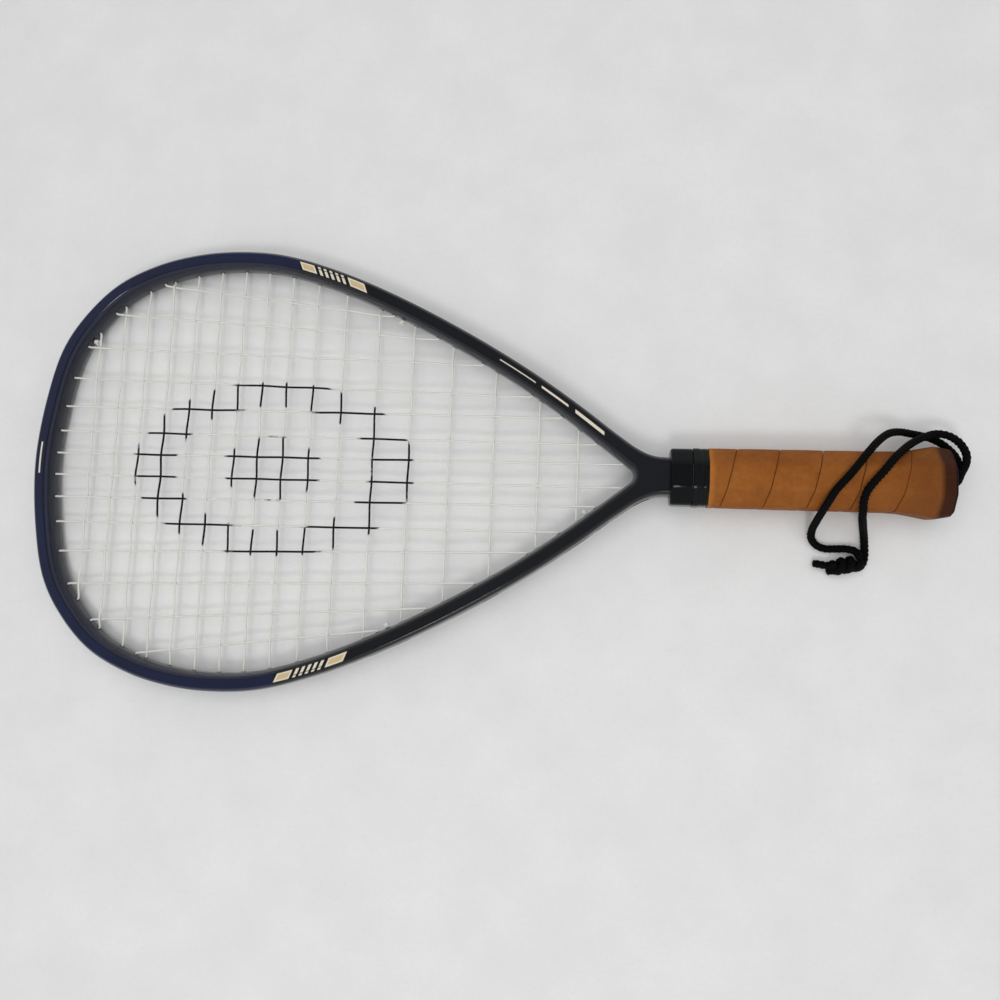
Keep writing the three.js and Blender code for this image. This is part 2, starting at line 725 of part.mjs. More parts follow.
// Share of the flare's swelling at a place along the handle.
function flareShare(x) {
  const along = Math.min(Math.max(x - GRIP_START, 0), GRIP_LENGTH);
  const k = Math.max(1, FLARE_TABLE.findIndex((p) => p.x >= along));
  const [a, b] = [FLARE_TABLE[k - 1], FLARE_TABLE[k]];
  return a.y + ((b.y - a.y) * (along - a.x)) / (b.x - a.x);
}

// Half width and half height of the grip's outside at a place along it.
function gripSize(x) {
  const share = flareShare(x);
  return [
    (GRIP_WIDTH + share * (FLARE_WIDTH - GRIP_WIDTH)) / 2,
    (GRIP_HEIGHT + share * (FLARE_HEIGHT - GRIP_HEIGHT)) / 2,
  ];
}

function boxBetween(x0, x1, halfY, z0, z1) {
  const g = new THREE.BoxGeometry(x1 - x0, 2 * halfY, z1 - z0);
  g.translate((x0 + x1) / 2, 0, (z0 + z1) / 2);
  g.deleteAttribute('normal');
  g.deleteAttribute('uv');
  return bare(mergeVertices(g));
}

// Cavity that clears the narrow ends of the two pallets.
function sleeveCut(x0, x1) {
  const sizes = [SLEEVE_WIDTH / 2 + SEAT_GAP, SLEEVE_HEIGHT / 2 + SEAT_GAP];
  return loft([octagon(x0, ...sizes), octagon(x1, ...sizes)]);
}

// One half of the moulded handle core round the shaft, split at the string plane.
function palletGeometry(upper) {
  const front = COLLAR_START + COLLAR_WALL + SEAT_GAP;
  const underCap = CAP_START - SEAT_GAP;
  const narrow = [SLEEVE_WIDTH / 2, SLEEVE_HEIGHT / 2];
  const wide = (x) => gripSize(x).map((s) => s - LEATHER_THICKNESS - SEAT_GAP);
  const body = loft([
    octagon(front, ...narrow),
    octagon(GRIP_START, ...narrow),
    octagon(GRIP_START, ...wide(GRIP_START)),
    octagon((GRIP_START + underCap) / 2, ...wide((GRIP_START + underCap) / 2)),
    octagon(underCap, ...wide(GRIP_START)),
    octagon(underCap, ...narrow),
    octagon(PALLET_END, ...narrow),
  ]);
  const channel = loft([
    shaftSection(front - CUT_OVERRUN, SEAT_GAP),
    shaftSection(PALLET_END + CUT_OVERRUN, SEAT_GAP),
  ]);
  const reach = GRIP_HEIGHT;
  const half = PALLET_SPLIT / 2;
  const keep = upper
    ? boxBetween(front - CUT_OVERRUN, PALLET_END + CUT_OVERRUN, GRIP_WIDTH, half, reach)
    : boxBetween(front - CUT_OVERRUN, PALLET_END + CUT_OVERRUN, GRIP_WIDTH, -reach, -half);
  return toGeometry(toSolid(body).subtract(toSolid(channel)).intersect(toSolid(keep)));
}

// Rubber collar that closes the front of the handle round the shaft.
function collarGeometry() {
  const end = COLLAR_START + COLLAR_LENGTH;
  const [w, h] = [COLLAR_WIDTH / 2, COLLAR_HEIGHT / 2];
  const body = loft([
    octagon(COLLAR_START, w - COLLAR_EDGE, h - COLLAR_EDGE),
    octagon(COLLAR_START + COLLAR_EDGE / 2, w - COLLAR_EDGE / 3, h - COLLAR_EDGE / 3),
    octagon(COLLAR_START + COLLAR_EDGE, w, h),
    octagon(end, w, h),
  ]);
  const shaftCut = loft([
    shaftSection(COLLAR_START - CUT_OVERRUN, SEAT_GAP),
    shaftSection(COLLAR_START + COLLAR_WALL + CUT_OVERRUN, SEAT_GAP),
  ]);
  const sleeve = sleeveCut(COLLAR_START + COLLAR_WALL, end + CUT_OVERRUN);
  return toGeometry(cutAll(toSolid(body), [sleeve, shaftCut]));
}

// Finishing tape between collar and leather, its outer turn lapping half of the inner.
function tapeGeometry() {
  const size = [COLLAR_WIDTH / 2 + TAPE_PROUD, COLLAR_HEIGHT / 2 + TAPE_PROUD];
  const lapped = size.map((s) => s + TAPE_LAP_HEIGHT);
  const lapEnd = TAPE_START + TAPE_LAP;
  const body = loft([
    octagon(TAPE_START, ...lapped),
    octagon(lapEnd, ...lapped),
    octagon(lapEnd, ...size),
    octagon(TAPE_END, ...size),
  ]);
  return toGeometry(cutAll(toSolid(body), [sleeveCut(TAPE_START - CUT_OVERRUN, TAPE_END + CUT_OVERRUN)]));
}

// Leather strip wound over pallets and butt cap, its two ends cut square to the handle.
function leatherGeometry() {
  const corners = octagon(0, ...gripSize(GRIP_START));
  const count = corners.length;
  const lengths = corners.map((p, i) => p.distanceTo(corners[(i + 1) % count]));
  const around = lengths.reduce((a, b) => a + b);
  const strip = LEATHER_PITCH - LEATHER_SEAM;
  const sections = [];
  const edges = [];
  let centre = GRIP_START + LEATHER_FIRST_SEAM - 1.5 * LEATHER_PITCH;
  for (let step = 0; centre - strip / 2 < GRIP_END + CUT_OVERRUN; step++) {
    const i = step % count;
    const across = Array.from({ length: LEATHER_STEPS_ACROSS + 1 }, (_, k) =>
      centre + strip * (k / LEATHER_STEPS_ACROSS - 1 / 2));
    const outer = across.map((x) => octagon(x, ...gripSize(x))[i]);
    const inner = across.map((x) => octagon(x, ...gripSize(x).map((s) => s - LEATHER_THICKNESS))[i]);
    sections.push([...outer, ...inner.toReversed()]);
    edges.push([outer[0], outer[LEATHER_STEPS_ACROSS]]);
    centre += (LEATHER_PITCH * lengths[i]) / around;
  }
  const gaps = edges.slice(count).map(([start], k) => start.distanceTo(edges[k][1]));
  console.log(`leather strip, least gap to itself ${Math.min(...gaps).toFixed(2)} mm`);
  const keep = boxBetween(GRIP_START, GRIP_END, FLARE_WIDTH, -FLARE_HEIGHT, FLARE_HEIGHT);
  return toGeometry(toSolid(loft(sections)).intersect(toSolid(keep)));
}

// Slot for the doubled cord: a rounded opening, taller than wide, through the end plate.
function slotCut() {
  const radius = CORD_DIAMETER / 2 + SLOT_CLEARANCE;
  const rise = STRAND_RISE;
  const shape = new THREE.Shape();
  shape.absarc(0, rise, radius, 0, Math.PI, false);
  shape.absarc(0, -rise, radius, Math.PI, 2 * Math.PI, false);
  const g = new THREE.ExtrudeGeometry(shape, {
    depth: CAP_PLATE + 2 * CUT_OVERRUN,
    bevelEnabled: false,
    curveSegments: 6,
  });
  g.rotateX(Math.PI / 2);
  g.rotateZ(Math.PI / 2);
  g.translate(BUTT_END - CAP_PLATE - CUT_OVERRUN, 0, 0);
  g.deleteAttribute('normal');
  g.deleteAttribute('uv');
  return bare(mergeVertices(g));
}

const STRAND_RISE = (PEG_DIAMETER + CORD_DIAMETER) / 2 + SEAT_GAP;

// Peg across the butt cap that the doubled cord is looped round.
function pegGeometry(diameter, length) {
  const g = new THREE.CylinderGeometry(diameter / 2, diameter / 2, length, 10);
  g.translate(PEG_X, 0, 0);
  g.deleteAttribute('normal');
  g.deleteAttribute('uv');
  return bare(mergeVertices(g));
}

function coreWidthAt(x) {
  return gripSize(x)[0] - LEATHER_THICKNESS - CAP_SEAT_GAP;
}

// Moulded butt cap: a flared skirt under the leather and a plate that closes the end.
function buttCapGeometry() {
  const core = (x) => gripSize(x).map((s) => s - LEATHER_THICKNESS - CAP_SEAT_GAP);
  const rimStart = GRIP_END + SEAT_GAP;
  const steps = 9;
  const skirt = Array.from({ length: steps + 1 }, (_, k) => {
    const x = CAP_START + ((rimStart - CAP_START) * k) / steps;
    return octagon(x, ...core(x));
  });
  const rim = core(rimStart).map((s) => s + CAP_RIM_PROUD);
  const face = rim.map((s) => s - CAP_RIM_CHAMFER);
  const body = loft([
    ...skirt,
    octagon(rimStart, ...rim),
    octagon((rimStart + BUTT_END) / 2, ...rim.map((s) => s - CAP_RIM_CHAMFER / 4)),
    octagon(BUTT_END, ...face),
  ]);
  const pegHole = pegGeometry(PEG_DIAMETER + 2 * SEAT_GAP, 2 * FLARE_WIDTH);
  return toGeometry(cutAll(toSolid(body), [
    sleeveCut(CAP_START - CUT_OVERRUN, BUTT_END - CAP_PLATE),
    slotCut(),
    pegHole,
  ]));
}

// Cord loop round the peg inside the cap.
function bightGeometry() {
  const outer = BUTT_END - CAP_PLATE - CORD_EXIT_RUN / 4;
  const path = [new THREE.Vector3(outer, 0, STRAND_RISE)];
  const steps = 8;
  for (let k = 0; k <= steps; k++) {
    const angle = Math.PI / 2 + (Math.PI * k) / steps;
    path.push(new THREE.Vector3(PEG_X + STRAND_RISE * Math.cos(angle), 0, STRAND_RISE * Math.sin(angle)));
  }
  path.push(new THREE.Vector3(outer, 0, -STRAND_RISE));
  return tubeAlong(path, CORD_DIAMETER, CORD_SIDES);
}

// Tilt at which the racket lies: on the crown of its tip and on the flare of its butt.
const TIP_REST = CROWN_INSET;
const FLARE_REST = GRIP_START + FLARE_SHARES[5][0] * GRIP_LENGTH;
const LAY_ANGLE = Math.atan((FLARE_HEIGHT - BEAM_HEIGHT) / 2 / (FLARE_REST - TIP_REST));

// A place on the tilted racket, in the table's own directions.
function onTable(point) {
  const p = point.clone().applyAxisAngle(new THREE.Vector3(0, 1, 0), -LAY_ANGLE);
  p.z += BEAM_HEIGHT / 2;
  return p;
}

// A place on the table behind, beside or under the butt.
function cordPlace([along, across, up]) {
  return new THREE.Vector3(BUTT_END + along * GRIP_WIDTH, across * GRIP_WIDTH, up * GRIP_HEIGHT);
}

// Free strand of the wrist cord, from inside the slot to the knot, never below the table.
function strandPoints(rise, route) {
  const inside = onTable(new THREE.Vector3(BUTT_END - CAP_PLATE - CORD_EXIT_RUN / 4 + SEAT_GAP, 0, rise));
  const mouth = onTable(new THREE.Vector3(BUTT_END + CORD_EXIT_RUN, 0, rise));
  const curve = new THREE.CatmullRomCurve3([mouth, ...route.map(cordPlace)], false, 'centripetal');
  const steps = Math.round(curve.getLength() / CORD_STEP);
  return [inside, ...curve.getSpacedPoints(steps)];
}

function strandGeometry(points) {
  const curve = new THREE.CatmullRomCurve3(points, false, 'centripetal');
  const shape = new THREE.Shape();
  shape.absarc(0, 0, CORD_DIAMETER / 2, 0, 2 * Math.PI, false);
  const g = new THREE.ExtrudeGeometry(shape, {
    steps: points.length - 1,
    extrudePath: curve,
    curveSegments: CORD_SIDES / 2,
    bevelEnabled: false,
  });
  g.deleteAttribute('normal');
  g.deleteAttribute('uv');
  return bare(mergeVertices(g));
}

// Knot where the two strands are tied together, with their two cut ends.
function cordKnotGeometry(strands) {
  const lumps = KNOT_LUMP_SHARES.map(([along, across, lengthShare, widthShare]) => {
    const [halfLength, halfWidth] = [lengthShare * CORD_DIAMETER, widthShare * CORD_DIAMETER];
    const halfHeight = halfWidth * KNOT_SQUASH_SHARE;
    const middle = cordPlace([along, across, 0]);
    const g = new THREE.SphereGeometry(1, 9, 6);
    g.rotateX(Math.PI / 2);
    g.scale(halfLength, halfWidth, halfHeight);
    g.translate(middle.x, middle.y, halfHeight + SEAT_GAP / 2);
    g.deleteAttribute('normal');
    g.deleteAttribute('uv');
    return toSolid(bare(mergeVertices(g)));
  });
  const tails = KNOT_TAIL_SHARES.map((ends) =>
    toSolid(tubeAlong(ends.map(cordPlace), TAIL_DIAMETER, CORD_SIDES)));
  const knot = [...lumps, ...tails].reduce((a, b) => a.add(b));
  // Each strand sinks into the knot and keeps a clearance all round.
  const sockets = strands.map((points) => {
    const end = points.slice(-3);
    const beyond = end[2].clone().sub(end[1]).normalize();
    end.push(end[2].clone().addScaledVector(beyond, SEAT_GAP));
    return tubeAlong(end, CORD_DIAMETER + 3 * SEAT_GAP, CORD_SIDES);
  });
  return toGeometry(cutAll(knot, sockets));
}

// A named mesh with faceted normals and its own material.
function piece(name, geometry, color, roughness, metalness = 0) {
  const faceted = geometry.toNonIndexed();
  faceted.computeVertexNormals();
  const material = new THREE.MeshStandardMaterial({ color, roughness, metalness });
  const mesh = new THREE.Mesh(faceted, material);
  mesh.name = name;
  return mesh;
}

function racketPieces() {
  const pegLength = 2 * (coreWidthAt(PEG_X) - PEG_SHORT);
  const lap = SEAT_GAP / HOOP_RUN;
  return [
    piece('frame', frameGeometry(), NAVY, 0.25),
    piece('grommet_strip_left', stripGeometry(STRIP_END, STRIP_BREAK - lap), BLACK_PLASTIC, 0.55),
    piece('grommet_strip_tip', stripGeometry(STRIP_BREAK + lap, 1 - STRIP_BREAK - lap), BLACK_PLASTIC, 0.55),
    piece('grommet_strip_right', stripGeometry(1 - STRIP_BREAK + lap, 1 - STRIP_END), BLACK_PLASTIC, 0.55),
    piece('main_string', stringGeometry(mainPath()), STRING_CLEAR, 0.3),
    piece('cross_string', stringGeometry(crossPath()), STRING_CLEAR, 0.3),
    piece('main_tie_knot_left', tieKnotGeometry(MAIN_TIES[0], STRING_LEVEL), STRING_CLEAR, 0.3),
    piece('main_tie_knot_right', tieKnotGeometry(MAIN_TIES[1], STRING_LEVEL), STRING_CLEAR, 0.3),
    piece('cross_tie_knot_tip', tieKnotGeometry(CROSS_TIES[0], -STRING_LEVEL), STRING_CLEAR, 0.3),
    piece('cross_tie_knot_throat', tieKnotGeometry(CROSS_TIES[1], -STRING_LEVEL), STRING_CLEAR, 0.3),
    piece('pallet_upper', palletGeometry(true), POLYURETHANE, 0.8),
    piece('pallet_lower', palletGeometry(false), POLYURETHANE, 0.8),
    piece('grip_collar', collarGeometry(), BLACK_RUBBER, 0.3),
    piece('finishing_tape', tapeGeometry(), BLACK_PLASTIC, 0.25),
    piece('leather_grip', leatherGeometry(), LEATHER, 0.6),
    piece('butt_cap', buttCapGeometry(), BLACK_RUBBER, 0.6),
    piece('cord_peg', pegGeometry(PEG_DIAMETER, pegLength), STEEL, 0.35, 1),
    piece('cord_bight', bightGeometry(), CORD_BLACK, 0.9),
  ];
}

function cordPieces() {
  const wide = strandPoints(STRAND_RISE, WIDE_STRAND_SHARES);
  const long = strandPoints(-STRAND_RISE, LONG_STRAND_SHARES);
  return [
    piece('cord_strand_wide', strandGeometry(wide), CORD_BLACK, 0.9),
    piece('cord_strand_long', strandGeometry(long), CORD_BLACK, 0.9),
    piece('cord_knot', cordKnotGeometry([wide, long]), CORD_BLACK, 0.9),
  ];
}

// The racket tilted as it lies, centred over the origin, with its lowest point at height zero.
const racket = new THREE.Group();
racket.rotation.y = -LAY_ANGLE;
racket.add(...racketPieces());
const cord = new THREE.Group();
cord.add(...cordPieces());

const hidden = new THREE.Box3();
racket.updateMatrixWorld(true);
for (const mesh of racket.children) {
  if (!mesh.name.startsWith('cord_')) hidden.expandByObject(mesh, true);
}
const middle = (hidden.min.x + hidden.max.x) / 2;
racket.position.set(-middle, 0, -hidden.min.z);
cord.position.set(-middle, 0, 0);

const assembly = new THREE.Group();
assembly.add(racket, cord);
assembly.updateMatrixWorld(true);

export default assembly;
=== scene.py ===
# Racquetball racket: a one-piece graphite frame with a woven string bed, a handle wound
# with leather and a loose wrist cord. Built in the order in which the real one is put
# together. Metres; lengths named in millimetres are turned into metres as they are placed.
import math
from bisect import bisect_right
from functools import reduce

import bmesh
import bpy
from mathutils import Matrix, Vector


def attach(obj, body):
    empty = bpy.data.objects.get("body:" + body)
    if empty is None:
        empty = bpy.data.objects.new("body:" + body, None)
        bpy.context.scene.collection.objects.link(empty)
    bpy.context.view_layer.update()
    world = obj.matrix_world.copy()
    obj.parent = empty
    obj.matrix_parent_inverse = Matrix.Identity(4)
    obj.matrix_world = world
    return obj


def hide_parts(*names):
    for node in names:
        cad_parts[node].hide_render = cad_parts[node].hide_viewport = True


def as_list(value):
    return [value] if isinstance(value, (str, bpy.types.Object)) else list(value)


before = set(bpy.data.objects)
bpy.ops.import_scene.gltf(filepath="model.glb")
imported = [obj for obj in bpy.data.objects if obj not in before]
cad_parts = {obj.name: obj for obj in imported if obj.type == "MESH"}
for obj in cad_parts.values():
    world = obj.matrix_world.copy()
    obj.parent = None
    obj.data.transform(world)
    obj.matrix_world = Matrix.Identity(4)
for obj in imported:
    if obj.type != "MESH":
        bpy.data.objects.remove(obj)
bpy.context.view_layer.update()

# Frame.
# The frame is one hollow graphite moulding: a teardrop hoop that runs into a straight
# shaft. The hoop's outer wall has a groove for the strings and their grommet strips.
MM = 0.001
HEAD_LENGTH = 373
HEAD_HALF_WIDTH = 131.8
SHAFT_HALF = 11
SHAFT_BLEND = 10
NECK_SHARE = 1.055
# Outer edge from the tip to the neck: share of the head's length, share of its half width.
OUTLINE = [
    (0, 0), (0.0105, 0.3), (0.0322, 0.537), (0.067, 0.697), (0.1206, 0.845), (0.1877, 0.938),
    (0.2547, 0.985), (0.3217, 1), (0.4021, 0.982), (0.496, 0.905), (0.59, 0.794), (0.697, 0.64),
    (0.804, 0.461), (0.885, 0.303), (0.944, 0.1766), (0.977, 0.1134),
]
BEAM_WIDTH = 11
BEAM_TOP = 8
CROWN_INSET = 2.4
INNER_INSET = 3.2
SHOULDER = (0.75, 6.55)
INNER_SHOULDER = (1.86, 6.88)
EASES = [0.42, 1.1, 0.35, 0.5]
INNER_EASES = [0.42, 1.1, 1.6]
LIP = 2.75
GROOVE_DEPTH = 3
GROOVE_START = 13
GROOVE_EASE = 4
THROAT_STRAIGHT = 45
THROAT_FILLET = 5.4
SHAFT_END = 510.4
HOOP_STEPS = 320
NECK_CROWDING = 0.42
THROAT_STEPS = 24
# How the racket lies: its long axis rises towards the butt, and its middle is over the origin.
LAY_ANGLE = 0.017789722
ORIGIN_X = -265.0213074
AXIS_HEIGHT = 7.9560411
NAVY = (0.0105, 0.0145, 0.046, 1)
GLOSS_BLACK = (0.0052, 0.0056, 0.0066, 1)
SLATE = (0.0062, 0.0088, 0.0175, 1)
GOLD = (0.60, 0.46, 0.25, 1)
PALE_GOLD = (0.74, 0.68, 0.55, 1)
# Printing on the crown: places from the tip in metres, widths from the outer edge in millimetres.
NAVY_END = (0.1600, 0.1610)
BLOCKS = ((0.1592, 0.1682), (0.1890, 0.1994))
BLOCK_HEARTS = ((0.1602, 0.1672), (0.1900, 0.1984))
BAR_ROW = (0.1696, 0.1876)
BAR_PITCH = 0.0036
ARM_STRIPES = (
    ((0.2835, 0.3045), (4.75, 5.35)), ((0.3080, 0.3235), (4.5, 5.6)),
    ((0.3275, 0.3440), (4.2, 5.9)),
)


class SmoothLine:
    """A smooth line through fixed points, read by the share of its length."""

    def __init__(self, points, fine=48):
        points = [Vector(p) for p in points]
        ends = [points[0] * 2 - points[1], *points, points[-1] * 2 - points[-2]]
        self.places = []
        for p0, p1, p2, p3 in zip(ends, ends[1:], ends[2:], ends[3:]):
            d0, d1, d2 = ((b - a).length ** 0.5 for a, b in ((p0, p1), (p1, p2), (p2, p3)))
            t1 = ((p1 - p0) / d0 - (p2 - p0) / (d0 + d1) + (p2 - p1) / d1) * d1
            t2 = ((p2 - p1) / d1 - (p3 - p1) / (d1 + d2) + (p3 - p2) / d2) * d1
            square = -3 * p1 + 3 * p2 - 2 * t1 - t2
            cube = 2 * p1 - 2 * p2 + t1 + t2
            for k in range(fine):
                t = k / fine
                self.places.append(p1 + t1 * t + square * t * t + cube * t ** 3)
        self.places.append(points[-1])
        self.runs = [0.0]
        for a, b in zip(self.places, self.places[1:]):
            self.runs.append(self.runs[-1] + (b - a).length)
        self.length = self.runs[-1]
        last = len(self.places) - 1
        self.headings = [
            (self.places[min(i + 1, last)] - self.places[max(i - 1, 0)]).normalized()
            for i in range(last + 1)
        ]

    def at(self, share):
        run = min(max(share, 0), 1) * self.length
        k = min(max(bisect_right(self.runs, run), 1), len(self.runs) - 1)
        t = (run - self.runs[k - 1]) / (self.runs[k] - self.runs[k - 1])
        place = self.places[k - 1].lerp(self.places[k], t)
        return place, self.headings[k - 1].lerp(self.headings[k], t).normalized()


def hoop_line():
    side = [Vector((x * HEAD_LENGTH, y * HEAD_HALF_WIDTH, 0)) for x, y in OUTLINE]
    side.append(Vector((HEAD_LENGTH, SHAFT_HALF * NECK_SHARE, 0)))
    side.append(Vector((HEAD_LENGTH + SHAFT_BLEND, SHAFT_HALF, 0)))
    lower = [Vector((p.x, -p.y, 0)) for p in side[1:]]
    return SmoothLine([*reversed(side[1:]), side[0], *lower])


HOOP = hoop_line()


def station(share):
    """Point on the hoop's outer edge and the outward direction there."""
    place, along = HOOP.at(share)
    return place, Vector((along.y, -along.x, 0)).normalized()


def set_in(share, inset, height):
    place, out = station(share)
    return place - out * inset + Vector((0, 0, height))


def on_table(place):
    """From the racket's own directions to the table's, as it lies on its tip and its flare."""
    return LAY @ Vector(place)


def lay_matrix():
    turn = Matrix.Rotation(-LAY_ANGLE, 4, "Y")
    return Matrix.Scale(MM, 4) @ Matrix.Translation((ORIGIN_X, 0, AXIS_HEIGHT)) @ turn


LAY = lay_matrix()


def skin(bm, rings, marks=None):
    """Draws the first ring of points and extrudes it through the others."""
    order = bm.verts.layers.int.get("order") or bm.verts.layers.int.new("order")
    marks = marks or [0.0] * len(rings)
    mark = bm.verts.layers.float.get("inset") or bm.verts.layers.float.new("inset")
    verts = []
    for i, place in enumerate(rings[0]):
        vert = bm.verts.new(place)
        vert[order] = i
        vert[mark] = marks[0]
        verts.append(vert)
    first = edges = [bm.edges.new(pair) for pair in zip(verts, verts[1:] + verts[:1])]
    for ring, inset in zip(rings[1:], marks[1:]):
        made = bmesh.ops.extrude_edge_only(bm, edges=edges)["geom"]
        fresh = {g for g in made if isinstance(g, bmesh.types.BMVert)}
        edges = [
            g for g in made
            if isinstance(g, bmesh.types.BMEdge) and g.verts[0] in fresh and g.verts[1] in fresh
        ]
        for vert in fresh:
            vert.co = ring[vert[order]]
            vert[mark] = inset
    return first, edges


def rounded(profile, reaches, steps=3):
    """A bent line with each inner corner eased over its own reach."""
    eased = [Vector(profile[0])]
    for i in range(1, len(profile) - 1):
        corner = Vector(profile[i])
        into = Vector(profile[i - 1]) - corner
        out = Vector(profile[i + 1]) - corner
        reach = min(reaches[i - 1], into.length / 2.02, out.length / 2.02)
        if reach <= 0:
            eased.append(corner)
            continue
        start = corner + into.normalized() * reach
        stop = corner + out.normalized() * reach
        for k in range(steps + 1):
            t = k / steps
            eased.append(start * (1 - t) ** 2 + corner * 2 * t * (1 - t) + stop * t * t)
    eased.append(Vector(profile[-1]))
    return eased


def in_scene(name, data):
    thing = bpy.data.objects.new(name, data)
    bpy.context.collection.objects.link(thing)
    return thing


def put_in(name, shape, node):
    """A shape's own piece: it rides on the racket and stands for its CAD node."""
    piece = in_scene(name, shape)
    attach(piece, "root")
    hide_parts(node)
    return piece


def finished(bm, name, material, node, crease=32, lay=LAY):
    """Lays worked mesh down on the table and makes it a smooth piece."""
    bmesh.ops.transform(bm, matrix=lay, verts=bm.verts)
    mesh = bpy.data.meshes.new(name)
    bm.to_mesh(mesh)
    bm.free()
    mesh.shade_smooth()
    mesh.set_sharp_from_angle(angle=math.radians(crease))
    mesh.materials.append(material)
    return put_in(name, mesh, node)


def outward(bm):
    bmesh.ops.recalc_face_normals(bm, faces=bm.faces)


def close_up(bm):
    """Welds the skins and turns every face outward."""
    bmesh.ops.remove_doubles(bm, verts=bm.verts, dist=1e-4)
    outward(bm)


def hoop_shares():
    """Shares along the hoop, closer together towards the neck."""
    even = (k / HOOP_STEPS for k in range(HOOP_STEPS + 1))
    return [s - NECK_CROWDING * math.sin(2 * math.pi * s) / (2 * math.pi) for s in even]


def eased_section(upper, eases):
    """A wall's upper half with its mirror image below it, and its corners eased."""
    lower = [(inset, -height) for inset, height in reversed(upper)]
    return rounded([*upper, *lower], [*eases, *reversed(eases)])


def frame_mesh():
    outer_rows = eased_section(
        [(3, BEAM_TOP), (CROWN_INSET, BEAM_TOP), SHOULDER, (0, LIP), (GROOVE_DEPTH, LIP)], EASES)
    inner_rows = eased_section(
        [(3.8, BEAM_TOP), (INNER_INSET, BEAM_TOP), INNER_SHOULDER, (0, LIP)], INNER_EASES)
    outline = [(Vector((SHAFT_END, SHAFT_HALF, 0)), Vector((1, 1, 0)), 0)]
    for share in hoop_shares():
        from_neck = min(share, 1 - share) * HOOP.length
        t = min(max((from_neck - GROOVE_START) / GROOVE_EASE, 0), 1)
        outline.append((*station(share), t * t * (3 - 2 * t)))
    outline.append((Vector((SHAFT_END, -SHAFT_HALF, 0)), Vector((1, -1, 0)), 0))

    def outer_ring(row):
        inset, height = row
        ring = []
        for place, out, groove in outline:
            deep = inset * groove if abs(height) <= LIP + 1e-6 else inset
            ring.append(place - out * deep + Vector((0, 0, height)))
        return ring

    neck = THROAT_STRAIGHT / HOOP.length
    arms = [neck, *(s for s in hoop_shares() if neck < s < 1 - neck), 1 - neck]
    edge = [(set_in(s, BEAM_WIDTH, 0), station(s)[1]) for s in arms]
    seat, out = edge[0]
    along = Vector((out.y, -out.x, 0))
    start = seat - out * THROAT_FILLET
    centre = start - along * (start.y / along.y)
    spread = math.atan2(out.y, out.x)
    for k in range(1, THROAT_STEPS):
        angle = -spread + 2 * spread * k / THROAT_STEPS
        facing = Vector((math.cos(angle), math.sin(angle), 0))
        edge.append((centre + facing * THROAT_FILLET, facing))

    def inner_ring(row):
        inset, height = row
        return [place + facing * inset + Vector((0, 0, height)) for place, facing in edge]

    bm = bmesh.new()
    outer_top, outer_low = skin(
        bm, [outer_ring(row) for row in outer_rows], marks=[row[0] for row in outer_rows])
    inner_top, inner_low = skin(
        bm, [inner_ring(row) for row in inner_rows], marks=[BEAM_WIDTH - row[0] for row in inner_rows])
    bmesh.ops.triangle_fill(bm, use_beauty=True, edges=outer_top + inner_top)
    bmesh.ops.triangle_fill(bm, use_beauty=True, edges=outer_low + inner_low)
    close_up(bm)
    return bm


def feed(node, inputs):
    """Links a node's inputs to the sockets given for them, and sets those given as plain values."""
    for key, value in inputs.items():
        if isinstance(value, bpy.types.NodeSocket):
            node.id_data.links.new(value, node.inputs[key])
        else:
            node.inputs[key].default_value = value


def shader_node(tree, kind, inputs=None, **settings):
    node = tree.nodes.new("ShaderNode" + kind)
    for key, value in settings.items():
        setattr(node, key, value)
    feed(node, inputs or {})
    return node


def new_finish(name):
    """An empty material: its main shader and the object's own coordinates."""
    material = bpy.data.materials.new(name)
    material.use_nodes = True
    tree = material.node_tree
    tree.nodes.clear()
    shader = shader_node(tree, "BsdfPrincipled")
    shader_node(tree, "OutputMaterial", {"Surface": shader.outputs["BSDF"]})
    return material, shader, shader_node(tree, "TexCoord").outputs["Object"]


def worked(kind, inputs, **settings):
    """What a node makes of its inputs; it goes into the tree that the first linked one is in."""
    tree = next(v.id_data for v in inputs.values() if isinstance(v, bpy.types.NodeSocket))
    return shader_node(tree, kind, inputs, **settings).outputs


def parts(place):
    return worked("SeparateXYZ", {0: place})


def calc(operation, *values, clamp=False):
    return worked("Math", dict(enumerate(values)), operation=operation, use_clamp=clamp)[0]


def times(*values):
    return reduce(lambda a, b: calc("MULTIPLY", a, b), values)


def total(*values):
    return reduce(lambda a, b: calc("ADD", a, b), values)


def less(value, taken):
    return calc("SUBTRACT", value, taken)


def blend(share, first, second):
    return worked("Mix", {0: share, 6: first, 7: second}, data_type="RGBA")[2]


def ramp(value, low, high, to_low=0.0, to_high=1.0):
    """Turns a range of values into another range, held at both ends."""
    return worked("MapRange", {0: value, 1: low, 2: high, 3: to_low, 4: to_high})[0]


def noise(place, scale, detail=3.0, rough=0.5):
    sockets = {"Vector": place, "Scale": scale, "Detail": detail, "Roughness": rough}
    return worked("TexNoise", sockets)[0]


def drawn_out(place, scales):
    """Coordinates stretched by different amounts, so that a pattern on them runs one way."""
    return worked("Mapping", {0: place, 3: scales})[0]


def bump(shader, height, distance, strength):
    sockets = {"Height": height, "Distance": distance, "Strength": strength}
    feed(shader, {"Normal": worked("Bump", sockets)[0]})


def between(value, low, high, soft=0.00015):
    """One inside a range, nothing outside, with a thin soft edge."""
    rise = ramp(value, low - soft, low + soft)
    return times(rise, ramp(value, high - soft, high + soft, 1.0, 0.0))


def any_of(value, spans):
    return total(*(between(value, *span) for span in spans))


def inset_mark(place):
    """How far in from its edge the mesh was marked to be."""
    return shader_node(place.id_data, "Attribute", attribute_name="inset").outputs["Fac"]


